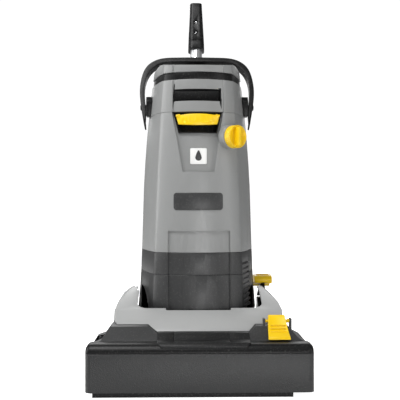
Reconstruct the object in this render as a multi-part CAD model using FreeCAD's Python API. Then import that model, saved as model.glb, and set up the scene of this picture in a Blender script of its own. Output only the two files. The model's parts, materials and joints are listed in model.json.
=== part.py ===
"""Compact upright floor scrubber: roller brush head, tilting body, two-in-one water tank, folding handle.

Millimetres. +X is the machine's left-to-right as seen from the front, +Y runs from front to back, +Z is up.
The origin is on the floor, in the middle of the overall length and width.
"""

import FreeCAD
import Part
import functools
import math
import os

V = FreeCAD.Vector
AXIS_X, AXIS_Y, AXIS_Z = V(1, 0, 0), V(0, 1, 0), V(0, 0, 1)

# ---------------------------------------------------------------- driving dimensions
HEAD_WIDTH = 335.0
LENGTH = 390.0
FRONT = -LENGTH / 2
HALF = HEAD_WIDTH / 2
WALL = 3.0
JOINT = 0.4  # open line between two mouldings
FIT = 0.06  # radial clearance of a running fit

TILT_Y, TILT_Z = 25.0, 80.0  # axis on which the body tips back over the head
BARREL_R = 65.0  # round belly of the body, concentric with the tilt axis
TRUNNION_R = 16.0
ARM_X0, ARM_X1 = 109.5, 118.0  # the two plates of the head that carry the body

BRUSH_Y, BRUSH_Z, BRUSH_R = -125.0, 39.5, 39.0
BRUSH_X0, BRUSH_X1 = -157.0, 115.0
TUNNEL_R = 43.5
BELT_X0, BELT_X1 = 121.5, 131.0
MOTOR_PULLEY_R, BRUSH_PULLEY_R = 12.0, 18.0

SPRAY_Y, SPRAY_Z, SPRAY_R = -160.1, 66.9, 2.6  # water bar above the front of the brush

WHEEL_Y, WHEEL_R, WHEEL_X0, WHEEL_X1 = 130.0, 36.0, 121.0, 143.0
AXLE_R = 4.0
SQUEEGEE_HINGE_Y, SQUEEGEE_HINGE_Z = 167.0, 31.0
PEDAL_Y, PEDAL_Z = 96.0, 102.0  # pin of the foot pedal
BRUSH_LATCH_Y, BRUSH_LATCH_Z = -131.0, 102.5  # pin of the brush release latch

HOUSING_BOTTOM, HOUSING_TOP = 100.0, 167.0
RING_TOP = 203.0
TANK_SPLIT = 432.0
BAND_BOTTOM, BAND_TOP = 485.0, 497.0
LID_TOP = 517.0
TANK_BACK = 58.0
BODY_BACK = 104.0
SPINE_TOP = 474.0

TANK_LATCH_Y, TANK_LATCH_Z = -54.0, 425.5  # pins of the tank latch
LID_HINGE_Y, LID_HINGE_Z = 61.0, 499.0
KNOB_X, KNOB_Y, KNOB_Z = 52.0, -51.0, 391.0  # where the knob's axis meets the tank
KNOB_TURN = 38.0  # degrees that the knob faces towards the right
BAIL_Y, BAIL_Z, BAIL_LEAN = 45.0, 450.0, 25.0

STEM_LEAN = 15.0
HINGE_Y, HINGE_Z = 170.6, 651.6  # fold axis of the push handle
POLE_OFFSET = 13.0  # tube axis from the fold axis
POLE_R, POLE_BORE = 10.0, 8.3
COLLAR_R = 11.4
POLE_Y = HINGE_Y + POLE_OFFSET
POLE_TOP, POLE_BOTTOM = 630.0, 397.0
GRIP_TOP, GRIP_BOTTOM, GRIP_HALF = 394.0, 262.0, 55.0

# body outline by height: half width at the back of the tank, half width of the front face, front line
BODY_STATIONS = [
    (15.0, 103.0, 74.0, -78.0),
    (110.0, 102.5, 74.0, -78.0),
    (RING_TOP, 97.0, 71.0, -72.0),
    (290.0, 94.5, 68.0, -68.5),
    (380.0, 89.5, 64.0, -64.5),
    (440.0, 84.0, 60.5, -61.5),
    (500.0, 77.0, 57.0, -59.0),
    (525.0, 73.5, 55.5, -58.0),
]
CREASE_DEPTH = 25.0  # how far the corner between front face and flank lies behind the front line
CREASE_RADIUS = 11.0


# ---------------------------------------------------------------- small helpers
def box(x0, x1, y0, y1, z0, z1):
    return Part.makeBox(x1 - x0, y1 - y0, z1 - z0, V(x0, y0, z0))


def rod(start, end, radius):
    run = end - start
    return Part.makeCylinder(radius, run.Length, start, run)


def x_rod(x0, x1, y, z, radius):
    return rod(V(x0, y, z), V(x1, y, z), radius)


def face_of(points):
    return Part.Face(Part.makePolygon(points + [points[0]]))


def prism_x(points, x0, x1):
    """Side outline of (y, z) points, run from x0 to x1."""
    return face_of([V(x0, y, z) for y, z in points]).extrude(V(x1 - x0, 0, 0))


def prism_y(points, y0, y1):
    """Front outline of (x, z) points, run from y0 to y1."""
    return face_of([V(x, y0, z) for x, z in points]).extrude(V(0, y1 - y0, 0))


def prism_z(points, z0, z1):
    """Plan outline of (x, y) points, run from z0 to z1."""
    return face_of([V(x, y, z0) for x, y in points]).extrude(V(0, 0, z1 - z0))


def loft(wires):
    return Part.makeLoft(wires, True, False)


def joined(shapes):
    first = shapes[0]
    return first.fuse(shapes[1:]).removeSplitter() if len(shapes) > 1 else first


def rounded(shape, radius, wanted):
    edges = [e for e in shape.Edges if wanted(e)]
    return shape.makeFillet(radius, edges)


def along(edge, axis, tolerance=0.05):
    """True for a straight edge parallel to the axis."""
    if not isinstance(edge.Curve, (Part.Line, Part.LineSegment)):
        return False
    return edge.tangentAt(edge.FirstParameter).cross(axis).Length < tolerance


def turned(shape, centre, axis, degrees):
    copy = shape.copy()
    copy.rotate(centre, axis, degrees)
    return copy


def mirrored(shape):
    return shape.mirror(V(0, 0, 0), AXIS_X)


def at_height(column, z):
    """Value of one column of the body outline at height z, on straight lines between the stations."""
    for low, high in zip(BODY_STATIONS, BODY_STATIONS[1:]):
        if z <= high[0]:
            share = (z - low[0]) / (high[0] - low[0])
            return low[column] + share * (high[column] - low[column])
    return BODY_STATIONS[-1][column]


parts = {}


def keep(name, shape):
    if not shape.isValid() or shape.Volume <= 0:
        raise ValueError(f"{name} is not a sound solid")
    solids = shape.Solids
    parts[name] = solids[0] if len(solids) == 1 else Part.makeCompound(solids)


# ---------------------------------------------------------------- body outline
def front_edges(z, inset):
    """Flank, front face and flank of the body at one height, drawn inset from the outside."""
    w = at_height(1, z) - inset
    c = at_height(2, z) - inset * 0.75
    f = at_height(3, z) + inset
    crease = at_height(3, z) + CREASE_DEPTH + inset * 0.6
    flank = V(w - c, TANK_BACK - crease, 0)
    bulge = V(flank.y, -flank.x, 0).normalize() * 3.0
    middle = V((w + c) / 2, (TANK_BACK + crease) / 2, z) + bulge
    return [
        Part.Arc(V(-w, TANK_BACK, z), V(-middle.x, middle.y, z), V(-c, crease, z)).toShape(),
        Part.Arc(V(-c, crease, z), V(0, f, z), V(c, crease, z)).toShape(),
        Part.Arc(V(c, crease, z), middle, V(w, TANK_BACK, z)).toShape(),
    ]


def tank_wire(z, inset=0.0):
    """Front part of the body only, cut off flat at the back of the tank."""
    w = at_height(1, z) - inset
    edges = front_edges(z, inset)
    sides = [
        Part.makeLine(V(w, TANK_BACK, z), V(w, TANK_BACK + 1, z)),
        Part.makeLine(V(w, TANK_BACK + 1, z), V(-w, TANK_BACK + 1, z)),
        Part.makeLine(V(-w, TANK_BACK + 1, z), V(-w, TANK_BACK, z)),
    ]
    return Part.Wire(edges + sides)


def full_wire(z, inset=0.0, grow=0.0):
    """The whole body outline, with its rounded back."""
    w = at_height(1, z) - inset + grow
    back = BODY_BACK - inset
    corner = 24.0
    bend = corner * (1 - math.sqrt(0.5))
    edges = front_edges(z, inset - grow)
    edges += [
        Part.makeLine(V(w, TANK_BACK, z), V(w, back - corner, z)),
        Part.Arc(V(w, back - corner, z), V(w - bend, back - bend, z), V(w - corner, back, z)).toShape(),
        Part.makeLine(V(w - corner, back, z), V(-w + corner, back, z)),
        Part.Arc(V(-w + corner, back, z), V(-w + bend, back - bend, z), V(-w, back - corner, z)).toShape(),
        Part.makeLine(V(-w, back - corner, z), V(-w, TANK_BACK, z)),
    ]
    return Part.Wire(edges)


def is_crease(edge):
    """The long upright corners between the front face and the flanks."""
    a, b = edge.Vertexes[0].Point, edge.Vertexes[-1].Point
    return abs(a.z - b.z) > 20 and a.y < -20 and 40 < abs(a.x) < 80


@functools.lru_cache(maxsize=None)
def whole_column(inset, grow, with_back):
    """The body's outside, or its inside when inset, over its full height."""
    wires = [full_wire(s[0], inset, grow) if with_back else tank_wire(s[0], inset) for s in BODY_STATIONS]
    return rounded(loft(wires), CREASE_RADIUS, is_crease)


def tank_column(inset, z0, z1):
    """Front part of the body between two heights, flat at the back of the tank."""
    return whole_column(inset, 0.0, False).common(box(-200, 200, -200, TANK_BACK - inset, z0, z1))


def body_column(inset, grow, z0, z1):
    return whole_column(inset, grow, True).common(box(-200, 200, -200, 200, z0, z1))


def skin(depth0, depth1, z0, z1):
    """The layer of the body between two depths under its outer surface."""
    return tank_column(depth0, z0, z1).cut(tank_column(depth1, z0 - 1, z1 + 1))


def hollow(region, depth):
    """What must be cut from the region to sink it evenly by depth below the outer surface."""
    bounds = region.BoundBox
    return region.cut(tank_column(depth, bounds.ZMin - 1, bounds.ZMax + 1))


# ---------------------------------------------------------------- brush head: hood, bumper, hatch
HOOD_FRONT, HOOD_REAR, DECK_Z = -183.0, -78.0, 96.0
BUMPER_TOP, BUMPER_BEND = 78.0, 14.0
TRAY_Z, TRAY_BACK = 86.0, -108.0  # lowered middle of the deck, under the hatch and the saddle's front lip
HATCH_X0, HATCH_X1 = -63.0, 75.0


def tray(margin):
    """Sunken middle of the deck, with sloping ends; the margin leaves a gap all round."""
    floor, rim = TRAY_Z + margin, DECK_Z + 4
    x0, x1 = HATCH_X0 + margin, HATCH_X1 - margin
    return prism_y([(x0, floor), (x1, floor), (x1 + 17, rim), (x0 - 21, rim)], -166, TRAY_BACK - margin)


def hatch_outline(lift):
    """Side outline of the bumper's edge and the sunken deck, lifted off by an even amount."""
    front, top = FRONT - lift, BUMPER_TOP + lift
    centre_y, centre_z, r = FRONT + BUMPER_BEND, BUMPER_TOP - BUMPER_BEND, BUMPER_BEND + lift
    diagonal = r * math.sqrt(0.5)
    slope = lift * 0.45
    arc = Part.Arc(V(0, front, centre_z), V(0, centre_y - diagonal, centre_z + diagonal), V(0, centre_y, top))
    points = [
        (centre_y, top), (-164 - slope, top), (-152.5 - slope, TRAY_Z + lift), (-90, TRAY_Z + lift),
        (-90, 0), (front, 0), (front, centre_z)]
    lines = [Part.makeLine(V(0, *a), V(0, *b)) for a, b in zip(points, points[1:])]
    return Part.Face(Part.Wire([arc.toShape()] + lines))


def hatch_layer(lift):
    face = hatch_outline(lift)
    face.translate(V(HATCH_X0, 0, 0))
    return face.extrude(V(HATCH_X1 - HATCH_X0, 0, 0))


def make_bumper():
    block = box(-HALF, HALF, FRONT, -165, 8, BUMPER_TOP)
    front_top = lambda e: along(e, AXIS_X) and e.Vertexes[0].Z > 70 and e.Vertexes[0].Y < -190
    block = rounded(block, BUMPER_BEND, front_top)
    block = rounded(block, 9.0, lambda e: along(e, AXIS_Y) and e.Vertexes[0].Z > 70)
    inner = box(-HALF + 2.6, HALF - 2.6, HOOD_FRONT - 0.2, -160, 0, BUMPER_TOP - 3.2)
    return block.cut(inner)


def make_hood():
    outline = [
        (HOOD_FRONT, 12), (HOOD_FRONT, 72), (-180, BUMPER_TOP - 3.6), (-164.6, BUMPER_TOP - 3.6),
        (-164.6, BUMPER_TOP - 0.2), (-164, BUMPER_TOP - 0.2), (-138, DECK_Z - 0.2), (-130, DECK_Z),
        (-96, DECK_Z), (HOOD_REAR, 88), (HOOD_REAR, 14)]
    side = prism_x(outline, -HALF, HALF)
    front = prism_y([(-164.5, 0), (-164.5, 66), (-159, 75), (-147, 79), (-135, DECK_Z), (135, DECK_Z),
                     (148, 82), (160, 76), (164.5, 66), (164.5, 0)], FRONT, 0)
    hood = side.common(front)
    tunnel = x_rod(-160, BRUSH_X1 + 2, BRUSH_Y, BRUSH_Z, TUNNEL_R)
    mouth = box(-160, BRUSH_X1 + 2, BRUSH_Y - TUNNEL_R, BRUSH_Y + TUNNEL_R, 0, BRUSH_Z)
    belt_slot = prism_x([(-151, 12), (-151, 68), (-100, 76), (-60, 86), (-60, 12)], BELT_X0 - 1, BELT_X1 + 4)
    shaft_hole = x_rod(100, 140, BRUSH_Y, BRUSH_Z, 9.0)
    bearing_seat = x_rod(BRUSH_X0 - 5.4, BRUSH_X0, BRUSH_Y, BRUSH_Z, 12.0)
    spray_groove = x_rod(BRUSH_X0 + 3, BRUSH_X1 - 3, SPRAY_Y, SPRAY_Z, SPRAY_R + 0.4)
    ears = [box(x, x + 3, -137, -125, 90, 107) for x in (98.0, 138.5)]
    pin = x_rod(90, 150, BRUSH_LATCH_Y, BRUSH_LATCH_Z, 2.5 + FIT)
    hood = hood.cut([tray(0), tunnel, mouth, belt_slot, shaft_hole, bearing_seat, spray_groove])
    return joined([hood] + ears).cut(pin)


def make_hatch():
    """Charcoal cover in the middle of the deck, folded over the bumper's edge."""
    x0, x1, corner, edge = HATCH_X0, HATCH_X1, 6.0, FRONT + 2.5
    plate = hatch_layer(2.2).cut(hatch_layer(0.1))
    outline = prism_z([
        (x0 + corner, edge), (x1 - corner, edge), (x1, edge + corner), (x1, -136.3), (x0, -136.3),
        (x0, edge + corner)], 66, 120)
    plate = plate.common(outline)
    frame = box(-39, 46, -185, -150, 60, 120).cut(box(-37.6, 44.6, -183.6, -151.4, 60, 120))
    groove = hatch_layer(2.4).cut(hatch_layer(1.5)).common(frame)
    return plate.cut(groove)


keep("front_bumper", make_bumper())
keep("brush_hood", make_hood())
keep("front_hatch", make_hatch())


# ---------------------------------------------------------------- brush head: saddle cover
def cover_outside(inset):
    """Light grey saddle: side, front and plan outlines intersected."""
    i = inset
    side = prism_x([
        (-136 + i, 60), (-136 + i, 86 - i / 2), (-128 + i, 92 - i), (-84, 113 - i), (-40, 130 - i),
        (0, 139 - i), (30, 141 - i), (60, 134 - i), (88, 118 - i), (88, 60)], -150, 150)
    half = [
        (141 - i, 50), (138 - i, 84), (134 - i, 112), (130 - i, 123 - i / 2), (114 - i / 2, 137 - i),
        (102, 141 - i)]
    front = prism_y([(x, z) for x, z in half] + [(-x, z) for x, z in reversed(half)], -150, 100)
    plan_half = [(121 - i, -136), (129 - i, -110), (141 - i, -40), (141 - i, 100)]
    plan = prism_z(plan_half + [(-x, y) for x, y in reversed(plan_half)], 40, 150)
    solid = side.common(front).common(plan)
    return solid


def make_head_cover():
    shell = cover_outside(0.0).cut(cover_outside(WALL))
    trim = prism_x([
        (-150, 86.3), (-130, 86.3), (-60, 70), (60, 62), (100, 62), (100, 160), (-150, 160)], -150, 150)
    shell = shell.common(trim)
    passage = body_column(0, 6.0, HOUSING_BOTTOM - 20, 150).fuse([
        box(-109, 109, 20, 120, 60, 150), x_rod(-102, 102, TILT_Y, TILT_Z, BARREL_R + 1.5)])
    latch_notch = box(99.5, 150, -150, -117, 60, 150)
    deck = box(-160, 160, -137.6, -70, 60, DECK_Z + 0.3).cut(tray(0.3))
    wheel_arch = [x_rod(x, x + 40, WHEEL_Y, WHEEL_R, WHEEL_R + 6) for x in (-155, 115)]
    return shell.cut([passage, latch_notch, deck] + wheel_arch)


keep("head_cover", make_head_cover())


# ---------------------------------------------------------------- brush head: arms, beam, axle
def make_arm(side, extra_holes):
    """Plate from the hood back to the axle, with the bearing boss of the body."""
    front = HOOD_REAR + JOINT / 2
    outline = prism_x([
        (front, 22), (front, 76), (0, 84), (50, 84), (86, 112), (104, 112), (112, 60),
        (166, 44), (166, 20), (60, 20)], ARM_X0, ARM_X1)
    boss = x_rod(ARM_X0, ARM_X1, TILT_Y, TILT_Z, TRUNNION_R + 10)
    arm = joined([outline, boss])
    holes = [x_rod(90, 140, TILT_Y, TILT_Z, TRUNNION_R + FIT), x_rod(90, 140, WHEEL_Y, WHEEL_R, AXLE_R)]
    arm = arm.cut(holes + extra_holes)
    return arm if side > 0 else mirrored(arm)


PEDAL_PIN_R = 4.0
keep("side_arm_right", make_arm(1, [x_rod(90, 140, PEDAL_Y, PEDAL_Z, PEDAL_PIN_R)]))
keep("side_arm_left", make_arm(-1, []))
keep("wheel_axle", x_rod(-WHEEL_X1 - 1, WHEEL_X1 + 1, WHEEL_Y, WHEEL_R, AXLE_R))


def make_beam():
    beam = box(-ARM_X0 + 0.1, ARM_X0 - 0.1, 142, 160, 16, 40)
    beam = rounded(beam, 4.0, lambda e: along(e, AXIS_X))
    lugs = [box(x, x + 12, 158, 172, 25, 37) for x in (-92.0, 80.0)]
    pins = [x_rod(x, x + 26, SQUEEGEE_HINGE_Y, SQUEEGEE_HINGE_Z, 2.5) for x in (-91.0, 66.5)]
    return joined([beam] + lugs + pins)


keep("rear_beam", make_beam())


# ---------------------------------------------------------------- brush head: squeegees and spray bar
def make_front_squeegee():
    holder = prism_x([(-182.5, 4), (-182.5, 11.8), (-171, 11.8), (-171, 9), (-176, 4)], -157, 137)
    blade = prism_x([(-188, 0), (-188, 7.8), (-195 + 12.3, 7.8), (-182.7, 4), (-184.5, 0)], -157, 137)
    return holder, blade


front_holder, front_blade = make_front_squeegee()
keep("front_squeegee_holder", front_holder)
keep("front_squeegee_blade", front_blade)


def make_rear_holder():
    holder = box(-146, 146, 174, 194, 14, 34)
    holder = rounded(holder, 5.0, lambda e: along(e, AXIS_X) and e.Vertexes[0].Z > 20)
    slots = [box(-150, 150, y, y + 3, 10, 22) for y in (177.0, 188.0)]
    lugs = []
    for x in (-77.4, 66.0):
        lugs.append(box(x, x + 11.4, 162, 176, 26, 36))
    bore = x_rod(-110, 110, SQUEEGEE_HINGE_Y, SQUEEGEE_HINGE_Z, 2.5 + FIT)
    return joined([holder] + lugs).cut(slots + [bore])


keep("rear_squeegee_holder", make_rear_holder())
keep("rear_squeegee_blades", Part.makeCompound([box(-144, 144, y, y + 3, 0.6, 22) for y in (177.0, 188.0)]))


# ---------------------------------------------------------------- roller brush and its drive
def tube_x(x0, x1, y, z, outer, inner):
    return x_rod(x0, x1, y, z, outer).cut(x_rod(x0 - 1, x1 + 1, y, z, inner))


def belt_ring(inner_grow, outer_grow):
    """Flat belt round the two pulleys: the band between two offsets of their common outline."""
    solids = []
    for grow in (outer_grow, inner_grow):
        r1, r2 = MOTOR_PULLEY_R + grow, BRUSH_PULLEY_R + grow
        dy, dz = BRUSH_Y - TILT_Y, BRUSH_Z - TILT_Z
        run = math.hypot(dy, dz)
        base = math.atan2(dz, dy)
        spread = math.acos((r1 - r2) / run)
        motor, brush = (TILT_Y, TILT_Z, r1), (BRUSH_Y, BRUSH_Z, r2)
        points = []
        for (centre_y, centre_z, r), sign in ((motor, 1), (brush, 1), (brush, -1), (motor, -1)):
            a = base + sign * spread
            points.append((centre_y + r * math.cos(a), centre_z + r * math.sin(a)))
        web = prism_x(points, BELT_X0, BELT_X1)
        rounds = [x_rod(BELT_X0, BELT_X1, TILT_Y, TILT_Z, r1), x_rod(BELT_X0, BELT_X1, BRUSH_Y, BRUSH_Z, r2)]
        solids.append(joined([web] + rounds))
    return solids[0].cut(solids[1])


CORE_R, SHAFT_R = 21.0, 5.0
core = tube_x(BRUSH_X0, BRUSH_X1, BRUSH_Y, BRUSH_Z, CORE_R, 15.0)
ends = [x_rod(x, x + 6, BRUSH_Y, BRUSH_Z, CORE_R) for x in (BRUSH_X0, BRUSH_X1 - 6)]
shaft = x_rod(BRUSH_X0 - 5, BELT_X1 + 3, BRUSH_Y, BRUSH_Z, SHAFT_R)
keep("brush_core", joined([core, shaft] + ends))
keep("brush_bristles", tube_x(BRUSH_X0 + 2, BRUSH_X1 - 2, BRUSH_Y, BRUSH_Z, BRUSH_R, CORE_R))
keep("brush_pulley", tube_x(BELT_X0, BELT_X1 + 2, BRUSH_Y, BRUSH_Z, BRUSH_PULLEY_R, SHAFT_R))
keep("brush_end_bearing", tube_x(BRUSH_X0 - 5, BRUSH_X0 - 3.2, BRUSH_Y, BRUSH_Z, 12.0, SHAFT_R + FIT))
keep("drive_belt", belt_ring(0.3, 2.8))
motor_shaft = x_rod(60, BELT_X1 + 2, TILT_Y, TILT_Z, SHAFT_R)
keep("motor_pulley", joined([motor_shaft, x_rod(BELT_X0, BELT_X1 + 2, TILT_Y, TILT_Z, MOTOR_PULLEY_R)]))
keep("spray_bar", x_rod(BRUSH_X0 + 4, BRUSH_X1 - 4, SPRAY_Y, SPRAY_Z, SPRAY_R))


# ---------------------------------------------------------------- wheels
def make_tyre(x0, x1):
    tyre = tube_x(x0, x1, WHEEL_Y, WHEEL_R, WHEEL_R, WHEEL_R - 8)
    is_rim = lambda e: abs(e.BoundBox.ZLength - 2 * WHEEL_R) < 0.5 and e.BoundBox.XLength < 0.1
    return rounded(tyre, 3.0, is_rim)


def make_wheel_hub(x0, x1, outer_x):
    hub = tube_x(x0, x1, WHEEL_Y, WHEEL_R, WHEEL_R - 8, AXLE_R + FIT)
    dish = tube_x(outer_x - 5, outer_x + 5, WHEEL_Y, WHEEL_R, WHEEL_R - 12, 10)
    return hub.cut(dish)


keep("wheel_tyre_right", make_tyre(WHEEL_X0, WHEEL_X1))
keep("wheel_hub_right", make_wheel_hub(WHEEL_X0 + 1, WHEEL_X1 - 1, WHEEL_X1 - 1))
keep("wheel_tyre_left", mirrored(make_tyre(WHEEL_X0, WHEEL_X1)))
keep("wheel_hub_left", mirrored(make_wheel_hub(WHEEL_X0 + 1, WHEEL_X1 - 1, WHEEL_X1 - 1)))


# ---------------------------------------------------------------- foot pedal and brush latch
def make_pedal_lever():
    points = [(88, 94), (104, 94), (126, 118), (137, 130), (132, 137), (112, 134), (92, 112)]
    outline = prism_x(points, ARM_X1 + 0.4, ARM_X1 + 8)
    outline = rounded(outline, 3.0, lambda e: along(e, AXIS_X))
    return outline.cut(x_rod(100, 140, PEDAL_Y, PEDAL_Z, PEDAL_PIN_R + FIT))


def make_foot_pedal():
    pad = prism_x([
        (100, 136.5), (112, 134.4), (131, 137.4), (138, 131), (146, 126), (150, 130), (142, 143),
        (124, 151), (104, 149), (98, 143)], 106, 138)
    pad = rounded(pad, 4.0, lambda e: along(e, AXIS_X) and e.Vertexes[0].Z > 139)
    slot = box(ARM_X1 + 0.4, ARM_X1 + 8, 80, 160, 100, 137.5)
    return pad.cut(slot)


def make_brush_latch():
    outline = prism_x([
        (-171, 80.5), (-166, 80.5), (-139, 97.3), (-126.5, 97.3), (-125.5, 110), (-131, 112), (-136, 108),
        (-145, 98), (-157, 89), (-169, 84.5)], 101.4, 138)
    taper = prism_y([(101.4, 70), (137.5, 70), (131, 112), (106.5, 112)], -180, -110)
    latch = outline.common(taper)
    pins = x_rod(98.6, 141, BRUSH_LATCH_Y, BRUSH_LATCH_Z, 2.5)
    return joined([latch, pins])


keep("pedal_lever", make_pedal_lever())
keep("foot_pedal", make_foot_pedal())
keep("pedal_pin", x_rod(ARM_X0, ARM_X1 + 9, PEDAL_Y, PEDAL_Z, PEDAL_PIN_R))
keep("brush_latch", make_brush_latch())


# ---------------------------------------------------------------- body: lower housing and collar ring
CHANNEL_X0, CHANNEL_X1, CHANNEL_TOP, CHANNEL_DEPTH = -49.0, 52.0, 238.0, 2.5
VENT_Z0, VENT_Z1, VENT_Y0, VENT_Y1 = 112.0, 186.0, -46.0, 0.0


def channel():
    """Shallow recess down the middle of the front."""
    return hollow(box(CHANNEL_X0, CHANNEL_X1, -120, -20, 20, CHANNEL_TOP), CHANNEL_DEPTH)


def vent_block(margin, z0, z1):
    return box(60, 110, VENT_Y0 - margin, VENT_Y1 + margin, z0, z1)


def vent_pocket():
    return hollow(vent_block(0, VENT_Z0, VENT_Z1), 4.5)


def make_lower_housing():
    outer = body_column(0, 0, HOUSING_BOTTOM, HOUSING_TOP - JOINT / 2)
    inner = body_column(WALL + 2, 0, HOUSING_BOTTOM + WALL, HOUSING_TOP + 1)
    below = box(-150, 150, -60, 100, 0, HOUSING_BOTTOM + 1)
    barrel = x_rod(-100, 100, TILT_Y, TILT_Z, BARREL_R).common(below)
    barrel_inner = x_rod(-96, 96, TILT_Y, TILT_Z, BARREL_R - WALL)
    trunnions = [x_rod(x, x + 22, TILT_Y, TILT_Z, TRUNNION_R) for x in (-118.4, 96.4)]
    bore = x_rod(90, 130, TILT_Y, TILT_Z, 9.0)
    housing = joined([outer, barrel] + trunnions).cut([inner, barrel_inner, bore])
    return housing.cut([channel(), vent_pocket()])


def make_ring():
    outer = body_column(0, 0, HOUSING_TOP + JOINT / 2, RING_TOP)
    inner = body_column(WALL + 2, 0, HOUSING_TOP - 1, RING_TOP - 4)
    return outer.cut(inner).cut([channel(), vent_pocket()])


def make_vent_grille():
    region = vent_block(-0.3, VENT_Z0 + 0.3, VENT_Z1 - 0.3)
    back = skin(3.2, 4.4, VENT_Z0 - 2, VENT_Z1 + 2).common(region)
    face = skin(0.2, 3.4, VENT_Z0 - 2, VENT_Z1 + 2).common(region)
    pitch, slat_height = 8.2, 4.2
    slats = []
    for i in range(9):
        low = VENT_Z0 + 0.3 + pitch * i
        slats.append(face.common(box(0, 120, -100, 60, low, low + slat_height)))
    return joined([back] + slats)


keep("lower_housing", make_lower_housing())
keep("collar_ring", make_ring())
keep("vent_grille", make_vent_grille())
keep("brush_motor", tube_x(-58, 84, TILT_Y, TILT_Z, 36.0, SHAFT_R + FIT))
keep("suction_turbine", rod(V(-38, 14, 123), V(-38, 14, 192), 40.0))
keep("water_pump", joined([box(32, 74, -6, 46, 146, 176), rod(V(53, 20, 176), V(53, 20, 194), 14.0)]))


# ---------------------------------------------------------------- body: spine, stem and fold bracket
def stem_point(s, offset=0.0):
    """Point on the stem axis, s above the fold axis along the stem; offset leans towards the back."""
    lean = math.radians(STEM_LEAN)
    lateral = offset - POLE_OFFSET
    y = HINGE_Y + s * math.sin(lean) + lateral * math.cos(lean)
    z = HINGE_Z + s * math.cos(lean) - lateral * math.sin(lean)
    return V(0, y, z)


TUBE_R = 11.0
stem_tube = rod(stem_point(-245), stem_point(-24), TUBE_R)
SOCKET = [
    (100, 330), (106, 330), (124, 420), (133, 505), (131, 512), (108, 512), (100, 500), (96, 470), (96, 380)]


def make_spine():
    region = box(-200, 200, TANK_BACK + JOINT, 200, RING_TOP + JOINT / 2, SPINE_TOP)
    outer = body_column(0, 0, RING_TOP + JOINT / 2, SPINE_TOP).common(region)
    top_cut = prism_x([
        (50, SPINE_TOP - 6), (50, 500), (120, 500), (120, SPINE_TOP - 34), (92, SPINE_TOP - 18)], -200, 200)
    outer = outer.cut(top_cut)
    inner = body_column(WALL + 1, 0, RING_TOP + 4, SPINE_TOP)
    inner = inner.common(box(-200, 200, TANK_BACK + 3.5, 200, RING_TOP + 4, SPINE_TOP))
    inner = inner.cut(top_cut.translated(V(0, 0, -4)))
    socket = prism_x(SOCKET, -19, 19)
    is_rear = lambda e: not along(e, AXIS_X) and e.Vertexes[0].Y > 110 and e.Vertexes[-1].Y > 110
    socket = rounded(socket, 5.0, is_rear)
    post = box(-24, 24, TANK_BACK + 2, 100, 330, 430)
    shell = joined([outer.cut(inner), socket, post.common(outer)])
    return shell.cut(stem_tube)


def stem_section(s, half_x, half_y, corner):
    """Rounded rectangle across the stem."""
    lean = math.radians(STEM_LEAN)
    centre = stem_point(s)
    side = V(0, math.cos(lean), -math.sin(lean))
    points, k = [], corner * (1 - math.sqrt(0.5))
    for sx, sy in ((1, 1), (-1, 1), (-1, -1), (1, -1)):
        corner_points = [(half_x, half_y - corner), (half_x - k, half_y - k), (half_x - corner, half_y)]
        if sx * sy < 0:
            corner_points.reverse()
        points.append([centre + V(sx * a, 0, 0) + side * (sy * b) for a, b in corner_points])
    edges = []
    for here, after in zip(points, points[1:] + points[:1]):
        edges += [Part.Arc(*here).toShape(), Part.makeLine(here[-1], after[0])]
    return Part.Wire(edges)


def make_fold_bracket():
    """Two cheeks beside the knuckle of the folding pole."""
    cheeks = []
    for x in (-11.3, 7.3):
        disc = x_rod(x, x + 4, HINGE_Y, HINGE_Z, 10.5)
        foot = box(x, x + 4, HINGE_Y - 5.9, HINGE_Y + 4, HINGE_Z - 21.5, HINGE_Z)
        cheeks.append(joined([disc, foot]).cut(x_rod(-20, 20, HINGE_Y, HINGE_Z, 4.0)))
    return Part.makeCompound(cheeks)


def make_stem_cover():
    cover = loft([
        stem_section(-92, 15.0, 14.0, 8.0), stem_section(-84, 14.8, 13.8, 8.0),
        stem_section(-20, 11.8, 12.4, 6.0), stem_section(1.5, 11.0, 11.5, 6.0)])
    knuckle_room = x_rod(-7.3, 7.3, HINGE_Y, HINGE_Z, 14.2)
    knuckle_room = knuckle_room.fuse(box(-7.3, 7.3, HINGE_Y - 4, 200, HINGE_Z - 40, HINGE_Z))
    bracket_room = box(-30, 30, HINGE_Y - 6, 200, HINGE_Z - 22, HINGE_Z + 30)
    screw_wells = [rod(stem_point(s, -20), stem_point(s, -9.5), 3.4) for s in (-38.0, -60.0)]
    split = loft([stem_section(-76.2, 20, 20, 8.0), stem_section(-75.4, 20, 20, 8.0)])
    split = split.cut(loft([stem_section(-77, 13.6, 12.7, 7.5), stem_section(-74, 13.5, 12.6, 7.5)]))
    cheeks = make_fold_bracket().Solids
    return cover.cut([stem_tube, knuckle_room, bracket_room, split] + screw_wells + cheeks)


keep("rear_spine", make_spine())
keep("stem_tube", stem_tube)
keep("stem_cover", make_stem_cover())
keep("fold_bracket", make_fold_bracket())
keep("fold_pin", x_rod(-11.8, 11.8, HINGE_Y, HINGE_Z, 4.0))

HOOK_Z_UPPER, HOOK_Z_LOWER = 300.0, 222.0


def make_hook(z, way):
    stalk = rod(V(0, BODY_BACK, z), V(0, BODY_BACK + 26, z), 6.0)
    below, above = (6, 30) if way > 0 else (30, 6)
    finger = box(-9, 9, BODY_BACK + 20, BODY_BACK + 26, z - below, z + above)
    finger = rounded(finger, 2.0, lambda e: along(e, AXIS_Z))
    return joined([stalk, finger])


upper_hook = make_hook(HOOK_Z_UPPER, 1).cut(box(-20, 20, 90, BODY_BACK + 0.4, 200, 400))
keep("cable_hook_upper", upper_hook)
keep("cable_hook_lower", make_hook(HOOK_Z_LOWER, -1))
gland = Part.makeCone(9.0, 6.0, 22.0, V(60, BODY_BACK, 240), AXIS_Y)
keep("cord_gland", gland.cut(rod(V(60, 90, 240), V(60, 140, 240), 3.6)))


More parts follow.
